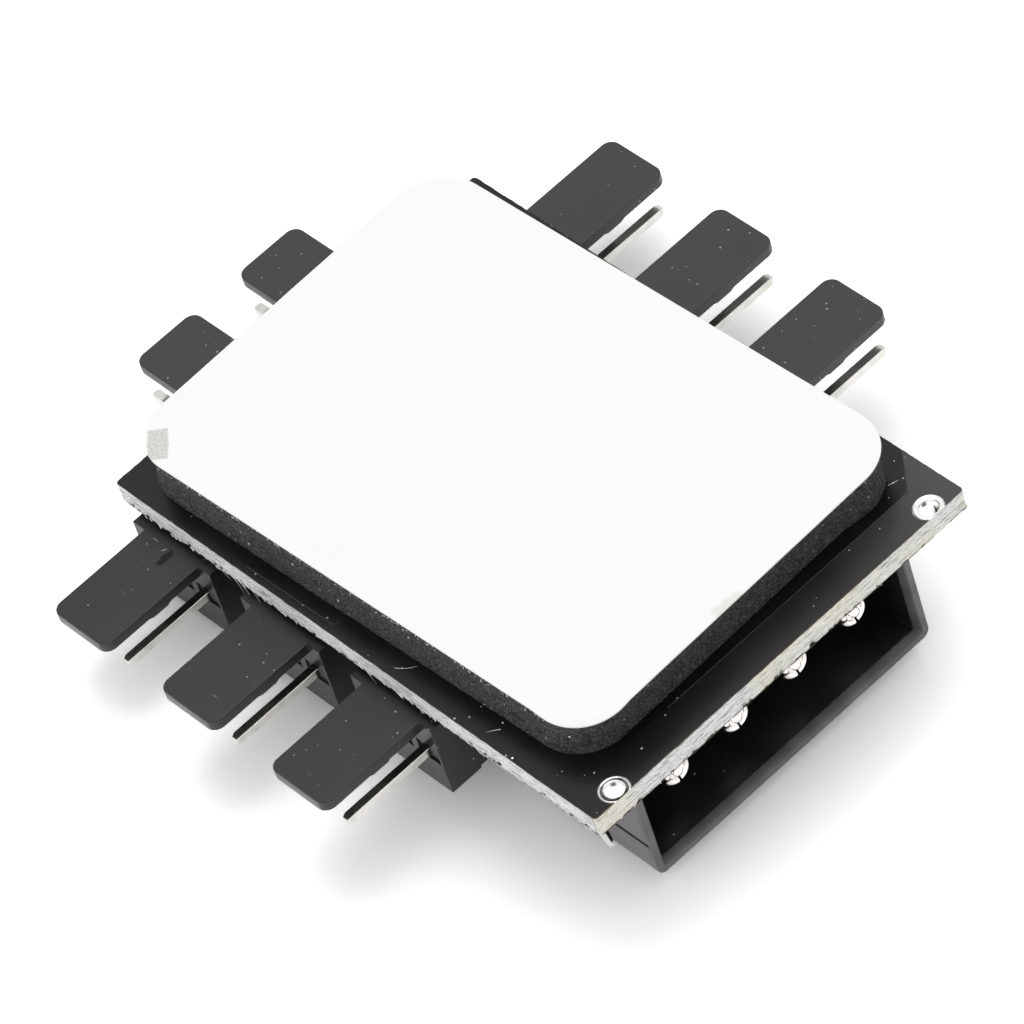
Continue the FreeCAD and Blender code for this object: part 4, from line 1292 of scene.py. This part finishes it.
def fuzz_tree(material):
    """Geometry nodes that set short bent fibres at random along an edge line."""
    tree = bpy.data.node_groups.new("edge_fuzz", "GeometryNodeTree")
    tree.interface.new_socket("Edge", in_out="INPUT", socket_type="NodeSocketGeometry")
    sizes = (("Count", "NodeSocketInt"), ("Fibre Length", "NodeSocketFloat"),
             ("Fibre Radius", "NodeSocketFloat"), ("Spread Low", "NodeSocketVector"),
             ("Spread High", "NodeSocketVector"), ("Turn Low", "NodeSocketVector"),
             ("Turn High", "NodeSocketVector"), ("Seed", "NodeSocketInt"))
    for name, kind in sizes:
        tree.interface.new_socket(name, in_out="INPUT", socket_type=kind)
    tree.interface.new_socket("Fibres", in_out="OUTPUT", socket_type="NodeSocketGeometry")
    start = add(tree, "NodeGroupInput").outputs
    line = add(tree, "GeometryNodeMeshToCurve", {"Mesh": start["Edge"]})
    roots = add(tree, "GeometryNodeCurveToPoints", {"Curve": line.outputs["Curve"],
                                                    "Count": start["Count"]}, mode="COUNT")
    shift = add(tree, "FunctionNodeRandomValue", {0: start["Spread Low"], 1: start["Spread High"],
                                                  "Seed": start["Seed"]}, data_type="FLOAT_VECTOR")
    spread = add(tree, "GeometryNodeSetPosition", {"Geometry": roots.outputs["Points"],
                                                   "Offset": shift.outputs[0]})
    bend = add(tree, "ShaderNodeCombineXYZ",
               {"X": maths(tree, "MULTIPLY", start["Fibre Length"], 0.5),
                "Z": maths(tree, "MULTIPLY", start["Fibre Length"], 0.12)})
    tip = add(tree, "ShaderNodeCombineXYZ", {"X": start["Fibre Length"]})
    bow = add(tree, "GeometryNodeCurveQuadraticBezier", {"Resolution": 4, "Start": (0, 0, 0),
                                                         "Middle": bend.outputs[0],
                                                         "End": tip.outputs[0]})
    ring = add(tree, "GeometryNodeCurvePrimitiveCircle", {"Resolution": 5,
                                                          "Radius": start["Fibre Radius"]})
    fibre = add(tree, "GeometryNodeCurveToMesh", {"Curve": bow.outputs[0],
                                                  "Profile Curve": ring.outputs["Curve"],
                                                  "Fill Caps": True})
    next_seed = maths(tree, "ADD", start["Seed"], 7.0)
    turn = add(tree, "FunctionNodeRandomValue", {0: start["Turn Low"], 1: start["Turn High"],
                                                 "Seed": next_seed}, data_type="FLOAT_VECTOR")
    size = add(tree, "FunctionNodeRandomValue", {2: 0.5, 3: 1.3, "Seed": next_seed},
               data_type="FLOAT")
    set_out = add(tree, "GeometryNodeInstanceOnPoints",
                  {"Points": spread.outputs[0], "Instance": fibre.outputs[0],
                   "Rotation": turn.outputs[0], "Scale": size.outputs[1]})
    solid = add(tree, "GeometryNodeRealizeInstances", {"Geometry": set_out.outputs[0]})
    dressed = add(tree, "GeometryNodeSetMaterial", {"Geometry": solid.outputs[0],
                                                    "Material": material})
    add(tree, "NodeGroupOutput", {"Fibres": dressed.outputs[0]})
    return tree


def grown_piece(name, line, tree, values, material, slot_name):
    """Plain mesh that a node tree grows from a line of places on the board."""
    base = bpy.data.meshes.new(name + "_line")
    base.from_pydata([at(*place) for place in line], [(n, n + 1) for n in range(len(line) - 1)], [])
    holder = bpy.data.objects.new(name + "_line", base)
    bpy.context.scene.collection.objects.link(holder)
    nodes = holder.modifiers.new("grown", "NODES")
    nodes.node_group = tree
    for item in tree.interface.items_tree:
        if item.item_type == "SOCKET" and item.name in values:
            nodes[item.identifier] = values[item.name]
    whole = holder.evaluated_get(bpy.context.evaluated_depsgraph_get())
    mesh = bpy.data.meshes.new_from_object(whole)
    holder.modifiers.remove(nodes)
    bpy.data.objects.remove(holder)
    mesh.materials.clear()
    new_piece(name, mesh, material, slot_name)


def edge_fuzz(tree, material):
    """Short torn fibres along the lower edge of the board's near side and power end."""
    y, x = 0.03, BOARD_LENGTH - 0.03
    edges = (
        ("near_edge_fuzz", ((0.5, y, FUZZ_LEVEL), (BOARD_LENGTH - 0.8, y, FUZZ_LEVEL)),
         {"Count": 210, "Seed": 11,
          "Spread Low": metres(-0.2, -0.04, -0.05), "Spread High": metres(0.2, 0.05, 0.16),
          "Turn Low": (0, -0.35, -0.3), "Turn High": (0, 0.5, 0.02)}),
        ("power_edge_fuzz", ((x, 0.8, FUZZ_LEVEL), (x, BOARD_WIDTH - 0.8, FUZZ_LEVEL)),
         {"Count": 110, "Seed": 23,
          "Spread Low": metres(-0.04, -0.2, -0.02), "Spread High": metres(-0.02, 0.2, 0.4),
          "Turn Low": (0, -0.35, 1.56), "Turn High": (0, 0.6, 1.66)}),
    )
    for name, line, values in edges:
        values |= {"Fibre Length": FUZZ_LENGTH * MM, "Fibre Radius": FUZZ_RADIUS * MM}
        grown_piece(name, line, tree, values, material, "laminate")


def foam_crumbs(tree, material):
    """Pale crumbs caught on the foam's near side, just under the liner."""
    values = {"Count": 230, "Seed": 5,
              "Fibre Length": CRUMB_LENGTH * MM, "Fibre Radius": CRUMB_RADIUS * MM,
              "Spread Low": metres(-0.15, -0.06, -0.6), "Spread High": metres(0.15, 0.05, 0.02),
              "Turn Low": (0, -1.2, -1.2), "Turn High": (0, 1.2, 1.2)}
    turn = Matrix.Rotation(math.radians(PAD_TURN_DEG), 2)
    z = BOARD_THICKNESS + FOAM_THICKNESS - 0.08
    line = []
    for x in (-PAD_LENGTH / 2 + FOAM_CORNER_RADIUS, PAD_LENGTH / 2 - FOAM_CORNER_RADIUS):
        spot = turn @ Vector((x, -PAD_WIDTH / 2 + 0.06)) + Vector((PAD_CENTRE_X, PAD_CENTRE_Y))
        line.append((spot.x, spot.y, z))
    grown_piece("foam_crumbs", line, tree, values, material, "foam")


def corner_flake(name, path, width, taper, material, slot_name):
    """A bent strip, wider at its root than at its tip: the flake of torn board, and the dark strip of
    painted shadow behind it.
    """
    points = []
    count = len(path)
    half = FLAKE_THICKNESS / 2
    for n, (x, y, z) in enumerate(path):
        reach = width * (1 - taper * n / (count - 1)) / 2
        for side, depth in ((-1, -1), (1, -1), (1, 1), (-1, 1)):
            points.append((x + depth * half, y + side * reach, z))
    faces = [(b, a, d, c) for a, b, c, d in quads(0, count, 4)]
    last = 4 * (count - 1)
    faces += [(0, 1, 2, 3), (last + 3, last + 2, last + 1, last)]
    piece = new_piece(name, mesh_from(name, points, faces), material, slot_name)
    soft = piece.modifiers.new("soft bends", "SUBSURF")
    soft.levels = soft.render_levels = 2


def smear(name, place, half_length, half_width, turn_deg, material):
    """A thin uneven patch on a flat face."""
    turn = Matrix.Rotation(math.radians(turn_deg), 2)
    count = SMEAR_SIDES
    points = []
    for z in (place[2] + SMEAR_RISE, place[2] - SMEAR_SINK):
        for n in range(count):
            angle = 2 * math.pi * n / count
            x, y = math.cos(angle), math.sin(angle)
            wander = 1 + SMEAR_RAGGED * noise.noise(Vector((x * 1.8, y * 1.8, 3)))
            spot = turn @ Vector((half_length * x, half_width * y)) * wander
            points.append((place[0] + spot.x, place[1] + spot.y, z))
    faces = [tuple(range(count)), tuple(reversed(range(count, 2 * count)))]
    faces += [(n + count, (n + 1) % count + count, (n + 1) % count, n) for n in range(count)]
    new_piece(name, mesh_from(name, points, faces), material, "header_plastic")


def ball(points, faces, centre, radius, squash=0.7):
    """Adds a small rounded grain."""
    rings, sides = 5, 8
    start = len(points)
    cx, cy, cz = centre
    for ring in range(1, rings):
        polar = math.pi * ring / rings
        for k in range(sides):
            angle = 2 * math.pi * k / sides
            points.append((cx + radius * math.sin(polar) * math.cos(angle),
                           cy + radius * math.sin(polar) * math.sin(angle),
                           cz + radius * squash * math.cos(polar)))
    top, bottom = len(points), len(points) + 1
    points.append((cx, cy, cz + radius * squash))
    points.append((cx, cy, cz - radius * squash))
    faces += [(a, d, c, b) for a, b, c, d in quads(start, rings - 1, sides)]
    last = start + (rings - 2) * sides
    for k in range(sides):
        m = (k + 1) % sides
        faces.append((start + k, start + m, top))
        faces.append((last + m, last + k, bottom))


def solder_grains(material):
    """Grains of solder and short hairs that lie on the mask and the tabs."""
    points, faces = [], []
    for x, y, radius in SOLDER_GRAINS:
        ball(points, faces, (x, y, BOARD_THICKNESS + radius * 0.4), radius)
    for start, end, bow, radius in LINT:
        hair(points, faces, curved_path(start, end, bow), radius)
    mesh = mesh_from("solder_grains", points, faces)
    smooth(mesh)
    new_piece("solder_grains", mesh, material, "solder_metal")


# Rolled rims of the power contacts


def rolled_rims(material):
    """Each power contact's folded end: two rounded petals round its dome, parted by slits."""
    size = len(PETAL_PROFILE)
    for number, (_, y) in enumerate(tail_places(), 1):
        points, faces = [], []
        for start, end, flare in PETALS:
            first = len(points)
            steps = max(4, round((end - start) / PETAL_STEP_DEG))
            for n in range(steps + 1):
                turn = math.radians(start + (end - start) * n / steps)
                for radius, out in PETAL_PROFILE:
                    radius += flare * (radius - PETAL_ROOT_RADIUS)
                    points.append((CONTACT_FACE_X + out, y - radius * math.sin(turn),
                                   SOCKET_AXIS_Z + radius * math.cos(turn)))
            faces += quads(first, steps + 1, size)
            faces.append(tuple(first + k for k in reversed(range(size))))
            faces.append(tuple(first + steps * size + k for k in range(size)))
        mesh = mesh_from(f"contact_petals_{number}", points, faces)
        smooth(mesh, ROLLED_SHARP_DEG)
        new_piece(f"contact_petals_{number}", mesh, material, "pin_metal")


# Stage, lights and camera


def stage_floor():
    """White floor, paler to the camera and in reflections, so that it shows full white where
    nothing shades it."""
    material = bpy.data.materials.new("studio_floor")
    material.use_nodes = True
    tree = material.node_tree
    tree.nodes.clear()
    diffuse = add(tree, "ShaderNodeBsdfDiffuse", {"Color": FLOOR_SHADE})
    gain = blend_colours(tree, seen_rays(tree), (0, 0, 0, 1), (FLOOR_GAIN, FLOOR_GAIN, FLOOR_GAIN, 1))
    paler = add(tree, "ShaderNodeBsdfDiffuse", {"Color": gain})
    both = add(tree, "ShaderNodeAddShader", {0: diffuse.outputs[0], 1: paler.outputs[0]})
    under = add(tree, "ShaderNodeNewGeometry").outputs["Backfacing"]
    clear = add(tree, "ShaderNodeBsdfTransparent")
    shown = add(tree, "ShaderNodeMixShader", {0: under, 1: both.outputs[0], 2: clear.outputs[0]})
    add(tree, "ShaderNodeOutputMaterial", {"Surface": shown.outputs[0]})
    low, high = at(FLOOR_LOW[0], 0, FLOOR_LOW[1]), at(FLOOR_HIGH[0], 0, FLOOR_HIGH[1])
    rise = (high.z - low.z) / (high.x - low.x)
    corners = [(x * FLOOR_HALF, y * FLOOR_HALF, low.z + (x * FLOOR_HALF - low.x) * rise)
               for x, y in ((-1, -1), (1, -1), (1, 1), (-1, 1))]
    mesh = bpy.data.meshes.new("studio_floor")
    mesh.from_pydata(corners, [], [(0, 1, 2, 3)])
    mesh.materials.append(material)
    floor = bpy.data.objects.new("studio_floor", mesh)
    bpy.context.scene.collection.objects.link(floor)


def soft_lights():
    """An even white sky and three large soft lamps that face the hub."""
    world = bpy.context.scene.world or bpy.data.worlds.new("studio")
    bpy.context.scene.world = world
    world.use_nodes = True
    tree = world.node_tree
    tree.nodes.clear()
    strength = ramp(tree, seen_rays(tree), 0.0, 1.0, SKY_LIGHT, 1.0)
    sky = add(tree, "ShaderNodeBackground", {"Color": (1, 1, 1, 1), "Strength": strength})
    add(tree, "ShaderNodeOutputWorld", {"Surface": sky.outputs[0]})
    for name, place, size, power in LAMPS:
        lamp = bpy.data.lights.new(name, "AREA")
        lamp.shape = "SQUARE"
        lamp.size = size
        lamp.energy = power
        holder = bpy.data.objects.new(name, lamp)
        bpy.context.scene.collection.objects.link(holder)
        holder.location = place
        holder.rotation_euler = (-Vector(place)).to_track_quat("-Z", "Y").to_euler()


def photo_camera():
    """Camera at the photograph's place, from its right and up directions."""
    back = VIEW_RIGHT.cross(VIEW_UP)
    up = back.cross(VIEW_RIGHT)
    turn = Matrix((VIEW_RIGHT, up, back)).transposed().to_4x4()
    data = bpy.data.cameras.new("photo_camera")
    data.sensor_width = SENSOR_MM
    data.lens = FOCAL_PIXELS / PHOTO_PIXELS * SENSOR_MM
    data.clip_start = 0.01
    data.clip_end = 20
    camera = bpy.data.objects.new("photo_camera", data)
    bpy.context.scene.collection.objects.link(camera)
    camera.matrix_world = Matrix.Translation(at(*VIEW_FROM)) @ turn
    bpy.context.scene.camera = camera


# The whole hub


def header_names():
    rows = [("near", LONG_ROW_COUNT), ("far", LONG_ROW_COUNT), ("end", END_ROW_COUNT)]
    return [f"{row}_{number + 1}" for row, count in rows for number in range(count)]


def dress_node(node, material):
    """A CAD node that keeps its shape and takes a finished material."""
    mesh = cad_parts[node].data
    mesh.materials.clear()
    mesh.materials.append(material)


def make_hub():
    dust, grain = dust_group(), grain_group()
    mask = mask_material(dust, grain)
    header_black, socket_black = header_plastic(dust, grain), socket_plastic(dust, grain)
    metals = {name: metal_material(name, grain) for name in METALS}
    pin_tin, contact_tin = metals["bright_tinned_pin"], metals["bright_tinned_contact"]
    solder = metals["tin_solder"]
    laminate_board(laminate_material())
    mask_layer("mask_pad_side", "solder_mask_pad_side", BOARD_THICKNESS - MASK_THICKNESS,
               seed=0.5, material=mask)
    mask_layer("mask_component_side", "solder_mask_component_side", 0.0, seed=6.5, material=mask)
    mask_lines("mask_steps_pad_side", POUR_EDGES, BOARD_THICKNESS, POUR_RISE, mask_step_material())
    foam_body(foam_material(dust))
    liner_sheet(liner_material())
    eyelets = zip(("near", "far"), CORNER_HOLE_Y, ("stained_tinned_ring", "bright_tinned_ring"))
    for side, y, tin in eyelets:
        eyelet(f"corner_eyelet_{side}", f"corner_rings_{side}", y, metals[tin])
    for name in header_names():
        refined_node(f"fan_header_{name}", f"header_{name}", HEADER_EDGE, header_black, "header_plastic")
        for count in range(1, 4):
            refined_node(f"fan_pin_{name}_{count}", f"pin_{name}_{count}", PIN_EDGE, pin_tin, "pin_metal")
        dress_node(f"fan_solder_{name}", solder)
    refined_node("power_socket", "socket_housing", SOCKET_EDGE, socket_black, "socket_plastic")
    for count in range(1, POWER_PIN_COUNT + 1):
        refined_node(f"power_pin_{count}", f"power_contact_{count}", POWER_PIN_EDGE, contact_tin,
                     "pin_metal", CONTACT_SHARP_DEG)
    dress_node("power_solder", solder)
    rolled_rims(contact_tin)
    loose_fibre = loose_fibre_material()
    torn_fibres(loose_fibre)
    tree = fuzz_tree(loose_fibre)
    edge_fuzz(tree, loose_fibre)
    foam_crumbs(tree, loose_fibre)
    corner_flake("corner_flake", CORNER_FLAKE, *FLAKE_SIZE, loose_fibre, "laminate")
    # The dark strip behind the flake is painted shadow.
    corner_flake("corner_shadow_strip", CORNER_SHADOW_STRIP, *SHADOW_STRIP_SIZE, shadow_strip_material(), "mask")
    smear("tab_smear", *TAB_SMEAR, dull_spot_material())
    solder_grains(solder)


bpy.context.scene.view_settings.view_transform = "Standard"
make_hub()
stage_floor()
soft_lights()
photo_camera()
